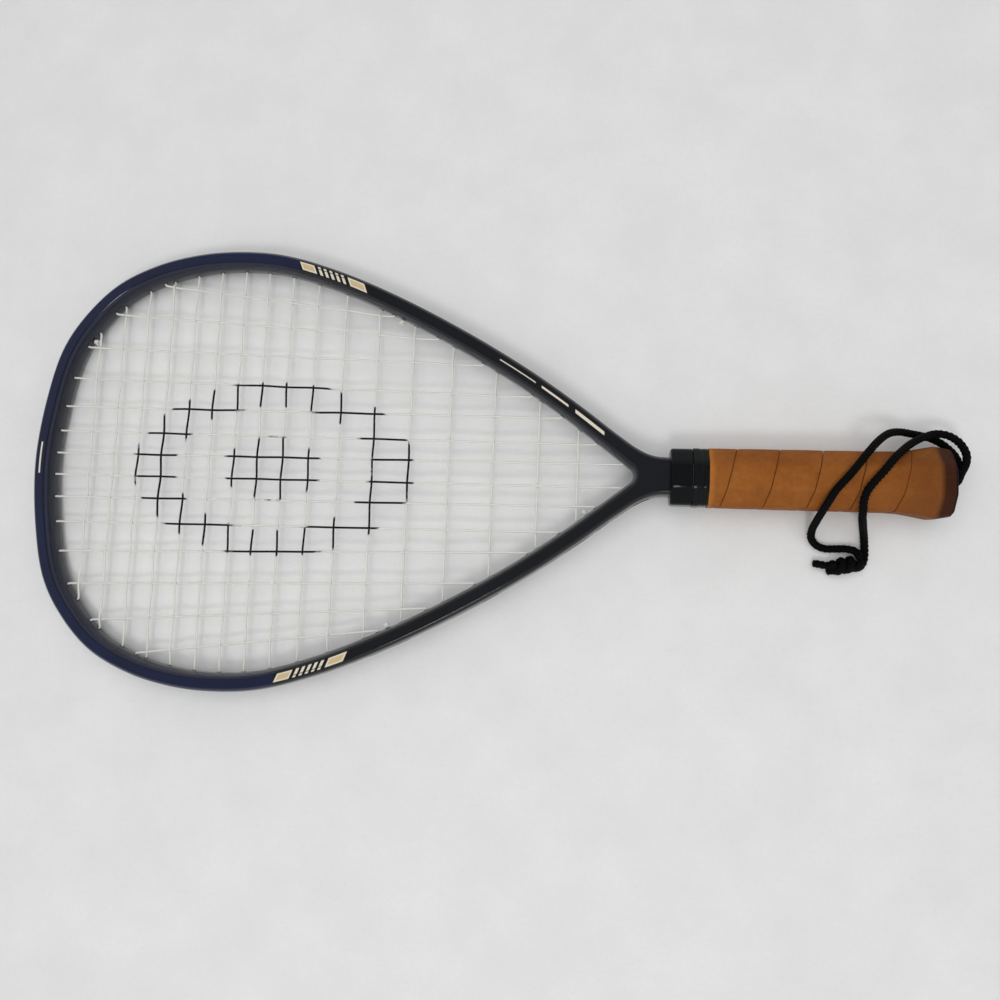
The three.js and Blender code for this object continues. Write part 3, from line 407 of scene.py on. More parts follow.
def lacquer():
    material, shader, place = new_finish("graphite_lacquer")
    x, y, z = parts(place)
    along = less(x, ORIGIN_X * MM)
    height = less(z, calc("MULTIPLY_ADD", along, LAY_ANGLE, AXIS_HEIGHT * MM))
    inset = inset_mark(place)
    crown = ramp(height, 0.00786, 0.00796)
    # Navy from the tip to the bars, black from there to the shaft; the inner wall is slate.
    colour = blend(ramp(along, *NAVY_END, 1.0, 0.0), GLOSS_BLACK, NAVY)
    mottle = ramp(noise(place, 42, 2.0), 0.35, 0.7, 0.0, 0.35)
    colour = blend(mottle, colour, (0.007, 0.0085, 0.017, 1))
    colour = blend(ramp(inset, 8.9, 9.6, 0.0, 0.85), colour, SLATE)
    # A dark line along the rounded crease between the crown and the inner wall is painted shade.
    crease = times(between(inset, 7.55, 8.35, 0.2), 0.8)
    colour = blend(crease, colour, (0.0022, 0.0024, 0.006, 1))
    # Printed on the crown where the colours meet: two blocks and a row of bars between them.
    slanted = less(along, times(inset, 0.0005))
    inside = times(crown, between(inset, 2.95, 7.25, 0.12))
    stripe = calc("FRACT", times(less(slanted, BAR_ROW[0]), 1 / BAR_PITCH))
    broken = less(1.0, between(inset, 3.95, 4.35, 0.1))
    bars = times(between(slanted, *BAR_ROW), between(stripe, 0.2, 0.7, 0.05), broken)
    colour = blend(times(bars, inside), colour, PALE_GOLD)
    colour = blend(times(any_of(slanted, BLOCKS), inside), colour, PALE_GOLD)
    hearts = times(any_of(slanted, BLOCK_HEARTS), between(inset, 3.75, 6.5, 0.3), crown)
    colour = blend(hearts, colour, GOLD)
    # Three plain pale stripes in a row on one arm, each bolder than the last, and one at the tip.
    stripes = (
        times(between(along, *span), between(inset, *width, 0.08)) for span, width in ARM_STRIPES
    )
    arm = times(total(*stripes), ramp(y, 0.0, 0.001))
    tip = times(between(y, -0.007, 0.012), ramp(along, 0.012, 0.0125, 1.0, 0.0))
    tip = times(tip, between(inset, 4.6, 5.6, 0.08))
    colour = blend(times(total(arm, tip), crown), colour, PALE_GOLD)
    dust = ramp(noise(place, 900, 4.0, 0.7), 0.68, 0.8, 0.0, 0.05)
    feed(shader, {
        "Base Color": blend(dust, colour, (0.3, 0.31, 0.33, 1)),
        "Roughness": ramp(noise(place, 160, 5.0, 0.65), 0.3, 0.75, 0.14, 0.26),
        "Specular IOR Level": 0.3, "Coat Weight": 0.5, "Coat Roughness": 0.04,
    })
    bump(shader, noise(place, 700, 2.0), 0.00003, 0.3)
    return material


finished(frame_mesh(), "graphite_frame", lacquer(), "frame")

# Grommet strips.
# Three vinyl strips lie in the groove, one round the tip and one down each arm. Each has a
# moulded barrel through the beam for every string hole, and is held in place by the strings.
STRIP_INNER = 2.7
STRIP_OUTER = 1.7
STRIP_HALF_HEIGHT = 2.45
BARREL_REACH = 11.2
BARREL_RADIUS = 1.45
BORE_RADIUS = 1.05
BARREL_LIP = 0.22
BARREL_SIDES = 14
# Turned profiles, inset and radius: a barrel to its mouth, and the ring round it outside.
BARREL_ROWS = (
    (STRIP_INNER - 0.4, BARREL_RADIUS), (BARREL_REACH - BARREL_LIP, BARREL_RADIUS),
    (BARREL_REACH - BARREL_LIP / 3, BARREL_RADIUS - BARREL_LIP / 3),
    (BARREL_REACH, BARREL_RADIUS - BARREL_LIP), (BARREL_REACH, BORE_RADIUS + 0.05),
    (BARREL_REACH - 0.1, BORE_RADIUS), (STRIP_INNER, BORE_RADIUS),
)
FLANGE_ROWS = ((1.72, 1.62), (1.5, 1.56), (1.45, 1.4), (1.5, 1.16), (1.74, 1.1))
FLANGE_TOP = 1.6
MOUTH_DEPTH = BARREL_REACH + 0.8
STRING_LEVEL = 0.8
MAIN_AT = 0.268 * HEAD_LENGTH
# Half of the long strings: share of the head's half width, and slant across the head.
MAINS_HALF = [
    (0.822, -0.383), (0.679, -0.213), (0.5305, -0.11), (0.3866, -0.085), (0.264, -0.026),
    (0.149, -0.023), (0.0502, 0),
]
CROSS_SHARES = [
    0.0865, 0.1275, 0.169, 0.2105, 0.251, 0.292, 0.333, 0.373, 0.4145, 0.458, 0.506, 0.562,
    0.62, 0.6835, 0.753, 0.823, 0.8835,
]
HOLE_SEARCH = 500
HOLE_HALVINGS = 24
TIE_SPACING = 6.5
TIP_STRIP_REACH = 0.335
BREAK_SEARCH = 50
STRIP_START = 15.2
STRIP_GAP = 0.3
STRIP_STEP = 3.2
STRIP_CORNER = 0.25


def mouth(share):
    return set_in(share, MOUTH_DEPTH, 0)


def meets(line, from_tip):
    """First place, from the neck or the tip, where the barrels' mouths meet a line."""
    order = [0.5 * (k + 0.5) / HOLE_SEARCH for k in range(HOLE_SEARCH)]
    if from_tip:
        order.reverse()
    values = [line(mouth(share)) for share in order]
    for i in range(1, len(order)):
        if values[i - 1] * values[i] > 0:
            continue
        a, b, at_a = order[i - 1], order[i], values[i - 1]
        for _ in range(HOLE_HALVINGS):
            middle = (a + b) / 2
            value = line(mouth(middle))
            if at_a * value > 0:
                a, at_a = middle, value
            else:
                b = middle
        return (a + b) / 2
    raise ValueError("a string misses the hoop")


def main_runs():
    """Each long string: its place across the head as a line, and its holes at tip and throat."""
    upper = []
    for share, slant_share in MAINS_HALF:
        across = share * HEAD_HALF_WIDTH
        slant = slant_share * HEAD_HALF_WIDTH / HEAD_LENGTH

        def line(p, across=across, slant=slant):
            return p.y - across - slant * (p.x - MAIN_AT)

        upper.append((1, across, slant, meets(line, True), meets(line, False)))
    lower = [(-1, across, slant, 1 - tip, 1 - throat) for _, across, slant, tip, throat in upper]
    return upper + lower[::-1]


def main_side(run, x):
    sign, across, slant = run[:3]
    return sign * (across + slant * (x - MAIN_AT))


def cross_runs():
    runs = []
    for share in CROSS_SHARES:
        x = share * HEAD_LENGTH
        left = meets(lambda p, x=x: p.x - x, True)
        runs.append((x, left, 1 - left))
    return runs


MAINS = main_runs()
CROSSES = cross_runs()
TIE_SHARE = TIE_SPACING / HOOP.length
MAIN_TIES = (MAINS[0][4] - TIE_SHARE, MAINS[-1][4] + TIE_SHARE)
CROSS_TIES = (CROSSES[0][1] + TIE_SHARE, CROSSES[-1][2] + TIE_SHARE)
HOLES = sorted(
    [(share, STRING_LEVEL) for run in MAINS for share in run[3:]]
    + [(share, STRING_LEVEL) for share in MAIN_TIES]
    + [(share, -STRING_LEVEL) for run in CROSSES for share in run[1:]]
    + [(share, -STRING_LEVEL) for share in CROSS_TIES]
)


def strip_break():
    """Where the tip strip ends: midway in the widest space between holes near its reach."""
    near = [s for s, _ in HOLES if abs(s - TIP_STRIP_REACH) * HOOP.length < BREAK_SEARCH]
    return max(((b - a, (a + b) / 2) for a, b in zip(near, near[1:])))[1]


def hole_seat(share, height):
    """Turns a shape's upright axis into the axis of a hole, outward through the beam."""
    place, out = station(share)
    turn = out.to_track_quat("Z", "Y").to_matrix().to_4x4()
    return Matrix.Translation(place + Vector((0, 0, height))) @ turn


def circle(sides):
    """Cosines and sines of even steps round a circle."""
    angles = (2 * math.pi * k / sides for k in range(sides))
    return [(math.cos(a), math.sin(a)) for a in angles]


def turned(bm, share, height, rows, top):
    """A round skin at a hole, cut flat at the top where it would stand out of the strip."""
    seat = hole_seat(share, height)
    return skin(bm, [
        [seat @ Vector((radius * c, min(radius * s, top), -inset)) for c, s in circle(BARREL_SIDES)]
        for inset, radius in rows
    ])


def strip_mesh(from_share, to_share):
    """A length of strip, with a barrel and a dimpled ring at each of its holes."""
    count = max(12, round((to_share - from_share) * HOOP.length / STRIP_STEP))
    high = STRIP_HALF_HEIGHT
    shoulder = high - STRIP_CORNER
    outer, inner = STRIP_OUTER + STRIP_CORNER, STRIP_INNER - STRIP_CORNER
    section = [
        (STRIP_OUTER, shoulder), (STRIP_OUTER, -shoulder), (outer, -high), (inner, -high),
        (STRIP_INNER, -shoulder), (STRIP_INNER, shoulder), (inner, high), (outer, high),
    ]
    shares = [from_share + (to_share - from_share) * k / count for k in range(count + 1)]
    bm = bmesh.new()
    first, last = skin(bm, [[set_in(s, inset, z) for inset, z in section] for s in shares])
    bmesh.ops.holes_fill(bm, edges=first + last, sides=len(section))
    outward(bm)
    for share, height in HOLES:
        if from_share < share < to_share:
            _, last = turned(bm, share, height, BARREL_ROWS, BARREL_RADIUS)
            bmesh.ops.holes_fill(bm, edges=last, sides=BARREL_SIDES)
            turned(bm, share, height, FLANGE_ROWS, FLANGE_TOP)
    outward(bm)
    return bm


def grained(
        name, grain, colours, rough, relief, strength=0.5, drawn=None, fine=None, shine=0.5,
        metal=0.0):
    """A plain finish: one pattern carries its colour and roughness, and its relief or a finer one."""
    material, shader, place = new_finish(name)
    pattern = noise(drawn_out(place, drawn) if drawn else place, *grain)
    feed(shader, {
        "Base Color": blend(pattern, *colours), "Roughness": ramp(pattern, 0.3, 0.7, *rough),
        "Specular IOR Level": shine, "Metallic": metal,
    })
    bump(shader, noise(place, *fine) if fine else pattern, relief, strength)
    return material


VINYL = grained(
    "grommet_vinyl", (800, 4.0, 0.6), ((0.0075, 0.0085, 0.011, 1), (0.016, 0.018, 0.024, 1)),
    (0.34, 0.56), 0.00005)
STRIP_BREAK = strip_break()
STRIP_END = STRIP_START / HOOP.length
STRIP_LAP = STRIP_GAP / HOOP.length
for side, start, stop in (
    ("left", STRIP_END, STRIP_BREAK - STRIP_LAP),
    ("tip", STRIP_BREAK + STRIP_LAP, 1 - STRIP_BREAK - STRIP_LAP),
    ("right", 1 - STRIP_BREAK + STRIP_LAP, 1 - STRIP_END),
):
    node = f"grommet_strip_{side}"
    finished(strip_mesh(start, stop), f"grommets_{side}", VINYL, node)

# Strings.
# Two clear nylon strings: the long one runs up and down the head, the cross one from side
# to side, over and under it. Each goes round through the groove from hole to hole and is
# tied off beside its first and its last run.
STRING_RADIUS = 0.62
STRING_TRACK = 0.72
WEAVE_REACH = 0.77
LOOP_STEP = 4
BORE_BEND = 0.9
SHARP_TURN = 0.35
WEAVE_STEPS = 4
TIE_RADIUS = 1.6
TIE_TURNS = 2.2
TIE_STEPS = 44
TIE_RINGS = 66
TIE_SIDES = 10
TIE_GAP = 0.35
TIE_RUN = 1.9
TIE_TIP = 0.45
# The printed oval: its middle's distance from the tip and its half axes.
OVAL_MIDDLE = 148.5
OVAL_WIDE = 0.0525
OVAL_LONG = 0.087


def weave_height(main, cross):
    return -WEAVE_REACH if (main + cross) % 2 else WEAVE_REACH


def cross_meets_main(i, k):
    run, (x, left, _) = MAINS[i], CROSSES[k]
    inside = mouth(run[3]).x < x < mouth(run[4]).x
    return inside and abs(main_side(run, x)) < mouth(left).y


def through_hole(share, z):
    return [set_in(share, STRING_TRACK, z), set_in(share, MOUTH_DEPTH, z)]


def groove_loop(first, second, z):
    steps = max(1, round(abs(second - first) * HOOP.length / LOOP_STEP))
    return [
        set_in(first + (second - first) * k / steps, STRING_TRACK, z) for k in range(1, steps)
    ]


def woven(start, crossings, stop):
    """A run between two mouths that eases from each crossing to the next."""
    points = [start, *crossings, stop]
    eased = [start]
    for a, b in zip(points, points[1:]):
        for k in range(1, WEAVE_STEPS + 1):
            t = k / WEAVE_STEPS
            height = a.z + (b.z - a.z) * t * t * (3 - 2 * t)
            flat = a.lerp(b, t)
            eased.append(Vector((flat.x, flat.y, height)))
    return eased


def long_crossings(i, run):
    """Where one long string crosses the others, from the throat to the tip."""
    return [
        Vector((x, main_side(run, x), weave_height(i, k)))
        for k, (x, _, _) in reversed(list(enumerate(CROSSES))) if cross_meets_main(i, k)
    ]


def cross_crossings(k, x):
    return [
        Vector((x, main_side(run, x), -weave_height(i, k)))
        for i, run in enumerate(MAINS) if cross_meets_main(i, k)
    ]


def string_path(runs, ties, z):
    """One string from tie to tie: its runs are holes and crossings, every second one turned."""
    path = [set_in(ties[0], BARREL_REACH, z), set_in(ties[0], STRING_TRACK, z)]
    left_by = None
    for i, (holes, crossings) in enumerate(runs):
        way = -1 if i % 2 else 1
        near, far = holes[::way]
        if left_by is not None:
            path += groove_loop(left_by, near, z)
        groove, start = through_hole(near, z)
        end_groove, stop = through_hole(far, z)
        path += [groove, *woven(start, crossings[::way], stop), end_groove]
        left_by = far
    return path + [set_in(ties[1], STRING_TRACK, z), set_in(ties[1], BARREL_REACH, z)]


LONG_PATH = string_path(
    [((run[4], run[3]), long_crossings(i, run)) for i, run in enumerate(MAINS)],
    MAIN_TIES, STRING_LEVEL)
CROSS_PATH = string_path(
    [((left, right), cross_crossings(k, x)) for k, (x, left, right) in enumerate(CROSSES)],
    CROSS_TIES, -STRING_LEVEL)


def string_piece(path, name, material, node):
    """A drawn string: a round line through its path, its bends eased."""
    reaches = []
    for a, b, c in zip(path, path[1:], path[2:]):
        reaches.append(BORE_BEND if (b - a).angle(c - b) > SHARP_TURN else 0)
    eased = rounded(path, reaches, steps=4)
    curve = bpy.data.curves.new(name, "CURVE")
    curve.dimensions = "3D"
    curve.bevel_depth = STRING_RADIUS * MM
    curve.bevel_resolution = 2
    curve.use_fill_caps = True
    spline = curve.splines.new("POLY")
    spline.points.add(len(eased) - 1)
    for point, place in zip(spline.points, eased):
        point.co = (*on_table(place), 1)
    curve.materials.append(material)
    put_in(name, curve, node)


def nylon():
    """Clear nylon with a printed oval on the bed, its ink worn at the crossings."""
    material, shader, place = new_finish("string_nylon")
    x, y, _ = parts(place)
    fleck = noise(place, 1500, 3.0, 0.6)
    clear = blend(fleck, (0.80, 0.80, 0.73, 1), (0.90, 0.90, 0.84, 1))
    # Oval ring stencilled in black: distance from its middle, in shares of its half axes.
    across = calc("DIVIDE", y, OVAL_WIDE)
    along = calc("DIVIDE", less(x, (ORIGIN_X + OVAL_MIDDLE) * MM), OVAL_LONG)
    reach = calc("SQRT", total(times(across, across), times(along, along)))
    ragged = total(reach, ramp(noise(place, 260), 0.2, 0.8, -0.02, 0.02))
    ring = between(ragged, 0.70, 1.0, 0.012)
    core = between(ragged, -1.0, 0.36, 0.012)
    ink_wear_and_end_shade = ramp(noise(place, 620, 4.0, 0.7), 0.25, 0.36, 0.6, 1.0)
    ink = times(calc("ADD", ring, core, clamp=True), ink_wear_and_end_shade)
    gloss = ramp(fleck, 0.3, 0.7, 0.26, 0.4)
    feed(shader, {
        "Base Color": blend(ink, clear, (0.0025, 0.0027, 0.0034, 1)),
        "Roughness": calc("MULTIPLY_ADD", ink, 0.3, gloss),
        "Transmission Weight": times(less(1.0, ink), 0.2), "IOR": 1.4,
    })
    bump(shader, fleck, 0.00002, 0.4)
    return material


def tie_mesh(share, height):
    """A tied end: two round turns drawn up against the barrel's mouth."""
    seat = hole_seat(share, height)
    out = station(share)[1]
    reach = TIE_RADIUS - STRING_RADIUS - 0.02
    wind = []
    for k in range(TIE_STEPS + 1):
        t = k / TIE_STEPS
        angle = 2 * math.pi * TIE_TURNS * t
        depth = BARREL_REACH + TIE_GAP + STRING_RADIUS + TIE_RUN * t
        wind.append(seat @ Vector((reach * math.cos(angle), reach * math.sin(angle), -depth)))
    line = SmoothLine(wind, fine=2)
    rings = []
    for k in range(TIE_RINGS + 1):
        centre, along = line.at(k / TIE_RINGS)
        side = out.cross(along).normalized()
        up = along.cross(side)
        radius = STRING_RADIUS if 0 < k < TIE_RINGS else TIE_TIP
        rings.append([centre + (side * c + up * s) * radius for c, s in circle(TIE_SIDES)])
    bm = bmesh.new()
    first, last = skin(bm, rings)
    bmesh.ops.holes_fill(bm, edges=first + last, sides=TIE_SIDES)
    outward(bm)
    return bm


NYLON = nylon()
string_piece(LONG_PATH, "long_string", NYLON, "main_string")
string_piece(CROSS_PATH, "cross_strings", NYLON, "cross_string")
for name, share, height in (
    ("main_tie_knot_left", MAIN_TIES[0], STRING_LEVEL),
    ("main_tie_knot_right", MAIN_TIES[1], STRING_LEVEL),
    ("cross_tie_knot_tip", CROSS_TIES[0], -STRING_LEVEL),
    ("cross_tie_knot_throat", CROSS_TIES[1], -STRING_LEVEL),
):
    knotted = name.replace("tie_knot", "end_knot")
    finished(tie_mesh(share, height), knotted, NYLON, name)

# Pallets.
# Two foam half shells glued round the shaft; they give the handle its eight flats and are
# hidden under the collar, the tape and the leather.


def coat(material, *nodes):
    """Gives CAD nodes whose shape is right their own finish."""
    for name in nodes:
        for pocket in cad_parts[name].material_slots:
            pocket.material = material


FOAM = grained(
    "handle_foam", (1400, 3.0, 0.6), ((0.30, 0.27, 0.20, 1), (0.46, 0.42, 0.33, 1)), (0.7, 0.9),
    0.0001, strength=0.7)
coat(FOAM, "pallet_upper", "pallet_lower")

# Grip collar.
# A glossy rubber collar closes the front of the handle round the shaft. Its front edge is
# rounded over and its eight flats run on into the handle.
COLLAR_START = 380.9
COLLAR_SIZE = (15.85, 13.7)
# Half of its section: places from its front edge, and how far each stands in from its size.
COLLAR_SHELL = (
    (2.3, 5.6), (0.15, 5.6), (0, 5.3), (0, 1.5), (0.12, 0.85), (0.5, 0.3), (1.1, 0.06), (1.7, 0),
    (11.4, 0), (11.78, 0.08), (11.9, 0.3), (11.9, 2.2), (2.3, 2.2), (2.3, 5.6),
)
TOP_FLAT = 0.42
SIDE_FLAT = 0.43
CORNER = 0.095
SECTION_POINTS = 64
CORNER_CUTS = (0.14, 0.86)


def octagon_shares():
    """The handle's section with eased corners, in shares of its half width and half height."""
    a, b = Vector((TOP_FLAT, 1)), Vector((1, SIDE_FLAT))
    quarter = [
        a.lerp(Vector((0, 1)), 2 * CORNER), a.lerp(b, CORNER), b.lerp(a, CORNER),
        b.lerp(Vector((1, 0)), 2 * CORNER),
    ]
    back = quarter[::-1]
    ring = [
        *quarter, *(Vector((p.x, -p.y)) for p in back), *(Vector((-p.x, -p.y)) for p in quarter),
        *(Vector((-p.x, p.y)) for p in back),
    ]
    while len(ring) < SECTION_POINTS:
        ring = [p.lerp(q, t) for p, q in zip(ring, ring[1:] + ring[:1]) for t in CORNER_CUTS]
    return ring


OCTAGON = octagon_shares()


def handle_ring(x, half_width, half_height):
    return [Vector((x, p.x * half_width, p.y * half_height)) for p in OCTAGON]


def handle_shell(start, profile, size):
    bm = bmesh.new()
    wide, high = size
    skin(bm, [handle_ring(start + run, wide - inset, high - inset) for run, inset in profile])
    close_up(bm)
    return bm


def moulded_rubber(name, colours, rough):
    return grained(
        name, (420, 4.0, 0.65), colours, rough, 0.00005, strength=0.45, fine=(1100,), shine=0.12)


COLLAR_RUBBER = moulded_rubber(
    "collar_rubber", ((0.0032, 0.0036, 0.0040, 1), (0.0078, 0.0086, 0.0095, 1)), (0.12, 0.22))
collar = handle_shell(COLLAR_START, COLLAR_SHELL, COLLAR_SIZE)
finished(collar, "collar", COLLAR_RUBBER, "grip_collar")

# Finishing tape.
# A stretched black tape laps the joint between the collar and the leather. Its outer turn
# covers the front third, so the tape shows a low step.
TAPE_START = 393.1
TAPE_PROUD = 0.15
# The outer turn stands 0.2 out as far as its end, 3.3 along; a stretch crease follows it.
TAPE_SHELL = (
    (0, 1.8), (0, 0), (0.1, -0.16), (0.3, -0.2), (3.1, -0.2), (3.3, -0.16), (3.42, 0.02),
    (4.9, 0.02), (5.05, 0.1), (5.2, 0.02), (7.9, 0), (8.2, 0.15), (8.2, 1.8), (0, 1.8),
)
TAPE = grained(
    "stretched_tape", (1.0, 4.0, 0.6), ((0.0034, 0.0038, 0.0042, 1), (0.0095, 0.0102, 0.011, 1)),
    (0.12, 0.26), 0.00008, drawn=(900, 90, 90), shine=0.15)
tape = handle_shell(TAPE_START, TAPE_SHELL, [half + TAPE_PROUD for half in COLLAR_SIZE])
finished(tape, "tape_over_joint", TAPE, "finishing_tape")

# Leather grip.
# One strip of orange-brown leather, its edges skived thin, is wound edge to edge over the
# pallets and on over the flare of the butt cap, and trimmed square at both ends.
GRIP_START = 401.6
GRIP_LENGTH = 126.5
GRIP_END = GRIP_START + GRIP_LENGTH
GRIP_SIZE = (16.4, 14.5)
FLARE_SIZE = (19.4, 17.2)
FLARE = [
    (0, -0.06), (0.3, -0.02), (0.72, 0), (0.8, 0.1), (0.868, 0.53), (0.93, 0.99), (0.965, 1),
    (1, 0.9),
]
BEVEL_START = 518.6
BEVEL = (0.12, 0.4)
FLARE_CUTS = (
    490, 496, 501, 505, 508, 511, 514, 516.5, 518.2, BEVEL_START, 519, 521, 523, 525, 527,
)
LEATHER_THICK = 1.8
LEATHER_PITCH = 22.8
LEATHER_SEAM = 0.22
FIRST_SEAM = 12.3
SKIVE_WIDTH = 0.6
SKIVE_DEPTH = 0.3
STRIP_CROWN = 0.1
# Towards this place along the handle, over this run, the seams are rubbed closed to this share.
SEAMS_CLOSED = 503
SEAMS_CLOSING = 8
LEAST_SEAM = 0.12
ACROSS_STEPS = 14
FLARE_LINE = SmoothLine([(along * GRIP_LENGTH, swell, 0) for along, swell in FLARE], fine=60)
FLARE_PLACES = [p.x for p in FLARE_LINE.places]


def grip_size(x):
    along = min(max(x - GRIP_START, 0.001), GRIP_LENGTH - 0.001)
    k = max(1, bisect_right(FLARE_PLACES, along))
    a, b = FLARE_LINE.places[k - 1], FLARE_LINE.places[min(k, len(FLARE_PLACES) - 1)]
    swell = a.y + (b.y - a.y) * (along - a.x) / (b.x - a.x)
    past = max(0.0, x - BEVEL_START)
    return [g + swell * (f - g) - past * b for g, f, b in zip(GRIP_SIZE, FLARE_SIZE, BEVEL)]


def leather_mesh():
    count = len(OCTAGON)
    wide, high = GRIP_SIZE
    plain = handle_ring(0, wide, high)
    lengths = [(a - b).length for a, b in zip(plain, plain[1:] + plain[:1])]
    around = sum(lengths)
    rings = []
    centre = GRIP_START + FIRST_SEAM - 1.5 * LEATHER_PITCH
    step = 0
    while centre - LEATHER_PITCH / 2 < GRIP_END + 1:
        share = OCTAGON[step % count]
        # The last turns are rubbed flat over the swelling, and their seams have closed.
        open_seam = min(max((SEAMS_CLOSED - centre) / SEAMS_CLOSING, LEAST_SEAM), 1)
        strip = LEATHER_PITCH - LEATHER_SEAM * open_seam
        outer, inner = [], []
        for k in range(ACROSS_STEPS + 1):
            # Columns crowd together towards the two skived edges.
            t = 0.5 - 0.5 * math.cos(math.pi * k / ACROSS_STEPS)
            x = centre + strip * (t - 0.5)
            thin = max(0.0, 1 - min(t, 1 - t) * strip / SKIVE_WIDTH)
            drop = open_seam * (SKIVE_DEPTH * thin ** 1.6 + STRIP_CROWN * (2 * t - 1) ** 2)
            for side, deep in ((outer, drop), (inner, LEATHER_THICK)):
                side.append(Vector((x, share.x * (wide - deep), share.y * (high - deep))))
        rings.append([*outer, *reversed(inner)])
        centre += LEATHER_PITCH * lengths[step % count] / around
        step += 1
    bm = bmesh.new()
    first, last = skin(bm, rings)
    order = bm.verts.layers.int["order"]
    mark = bm.verts.layers.float["inset"]
    for vert in bm.verts:
        column = vert[order] if vert[order] <= ACROSS_STEPS else 0
        vert[mark] = 1.0 if column in (0, ACROSS_STEPS) else 0.0
    bmesh.ops.holes_fill(bm, edges=first + last, sides=0)
    outward(bm)

    def cut_across(x, way, near, trim):
        return bmesh.ops.bisect_plane(
            bm, geom=bm.verts[:] + bm.edges[:] + bm.faces[:], dist=near, plane_co=(x, 0, 0),
            plane_no=(way, 0, 0), clear_outer=trim)["geom_cut"]

    for x, way in ((GRIP_START, -1), (GRIP_END, 1)):
        edges = [g for g in cut_across(x, way, 1e-5, True) if isinstance(g, bmesh.types.BMEdge)]
        bmesh.ops.holes_fill(bm, edges=edges, sides=0)
    # The wound strip is then stretched over the swelling and down the bevel at its end.
    for x in FLARE_CUTS:
        cut_across(x, 1, 1e-4, False)
    for vert in bm.verts:
        half = grip_size(vert.co.x)
        vert.co.y *= half[0] / wide
        vert.co.z *= half[1] / high
    return bm


def tanned_leather():
    material, shader, place = new_finish("tanned_leather")
    along = less(parts(place)[0], ORIGIN_X * MM)
    hide = noise(place, 55, 4.0, 0.6)
    fine = noise(place, 420, 5.0, 0.65)
    tan = ((0.235, 0.070, 0.0115, 1), (0.330, 0.112, 0.020, 1))
    colour = blend(ramp(hide, 0.3, 0.7), *tan)
    pores = ramp(fine, 0.35, 0.75, 0.0, 0.4)
    colour = blend(pores, colour, (0.16, 0.048, 0.0085, 1))
    # Handling has darkened the butt, and the front edge is paler.
    ragged = total(along, ramp(hide, 0.3, 0.7, -0.004, 0.004))
    handled = ramp(ragged, 0.488, 0.512, 0.0, 0.42)
    colour = blend(handled, colour, (0.095, 0.031, 0.0075, 1))
    # Painted shade: the bevelled end, where the leather slopes down to the rim, is painted almost
    # black-brown.
    end = total(along, ramp(hide, 0.3, 0.7, -0.0006, 0.0006))
    ink_wear_and_end_shade = ramp(end, 0.5182, 0.5216, 0.0, 0.92)
    colour = blend(ink_wear_and_end_shade, colour, (0.030, 0.0066, 0.0018, 1))
    front = ramp(along, 0.4022, 0.4050, 0.6, 0.0)
    colour = blend(front, colour, (0.46, 0.17, 0.032, 1))
    # Painted shade in the seam gaps along the edges of the strip, least over the swelling, where they
    # are rubbed flat.
    seam_shade = times(inset_mark(place), ramp(along, 0.490, 0.504, 0.62, 0.05))
    colour = blend(seam_shade, colour, (0.060, 0.019, 0.0055, 1))
    rubbed = noise(drawn_out(place, (260, 700, 260)), 1.0, 5.0, 0.75)
    scuff = ramp(rubbed, 0.62, 0.8, 0.0, 0.4)
    feed(shader, {
        "Base Color": blend(scuff, colour, (0.50, 0.25, 0.085, 1)),
        "Roughness": ramp(fine, 0.3, 0.75, 0.5, 0.72), "Specular IOR Level": 0.12,
    })
    cells = worked("TexVoronoi", {"Vector": place, "Scale": 1500.0})[0]
    bump(shader, total(times(cells, 0.6), fine), 0.00013, 0.5)
    return material


LEATHER = tanned_leather()
finished(leather_mesh(), "leather_strip", LEATHER, "leather_grip", crease=50)

# Butt cap.
# A moulded cap is pushed over the end of the pallets: its flared skirt carries the leather,
# and its plate closes the end, with a slot for the doubled wrist cord and a peg across it.
CAP_START = 501.4
CAP_END = 530.0
CAP_SEAT = 1.25
CAP_PLATE = 6.5
CAP_PROUD = 2
CAP_HOLLOW = (11.9, 11.1)
# The rim that shows: how far past the leather, and how far in from its widest.
RIM = (
    (0, 0.3), (0.1, 0.06), (0.35, 0), (0.7, 0.12), (1.1, 0.5), (1.42, 1.05), (1.58, 1.6),
    (1.6, 2.0), (1.6, 3.6), (1.35, 3.9),
)
SKIRT_RINGS = 12
FACE_DISH = 0.25
SLOT_RADIUS = 2.6
STRAND_RISE = 3.9
SLOT_LIP = (1.14, 1.05)


def cap_core(x):
    return [s - LEATHER_THICK - CAP_SEAT for s in grip_size(x)]


def slot_ring(x, wider=1, taller=1):
    """Edge of the doubled slot, in the order of the handle's section."""
    ring = []
    for share in OCTAGON:
        angle = math.atan2(share.y, share.x)
        rise = STRAND_RISE if share.y > 0 else -STRAND_RISE
        across, up = SLOT_RADIUS * math.cos(angle), rise + SLOT_RADIUS * math.sin(angle)
        ring.append(Vector((x, across * wider, up * taller)))
    return ring


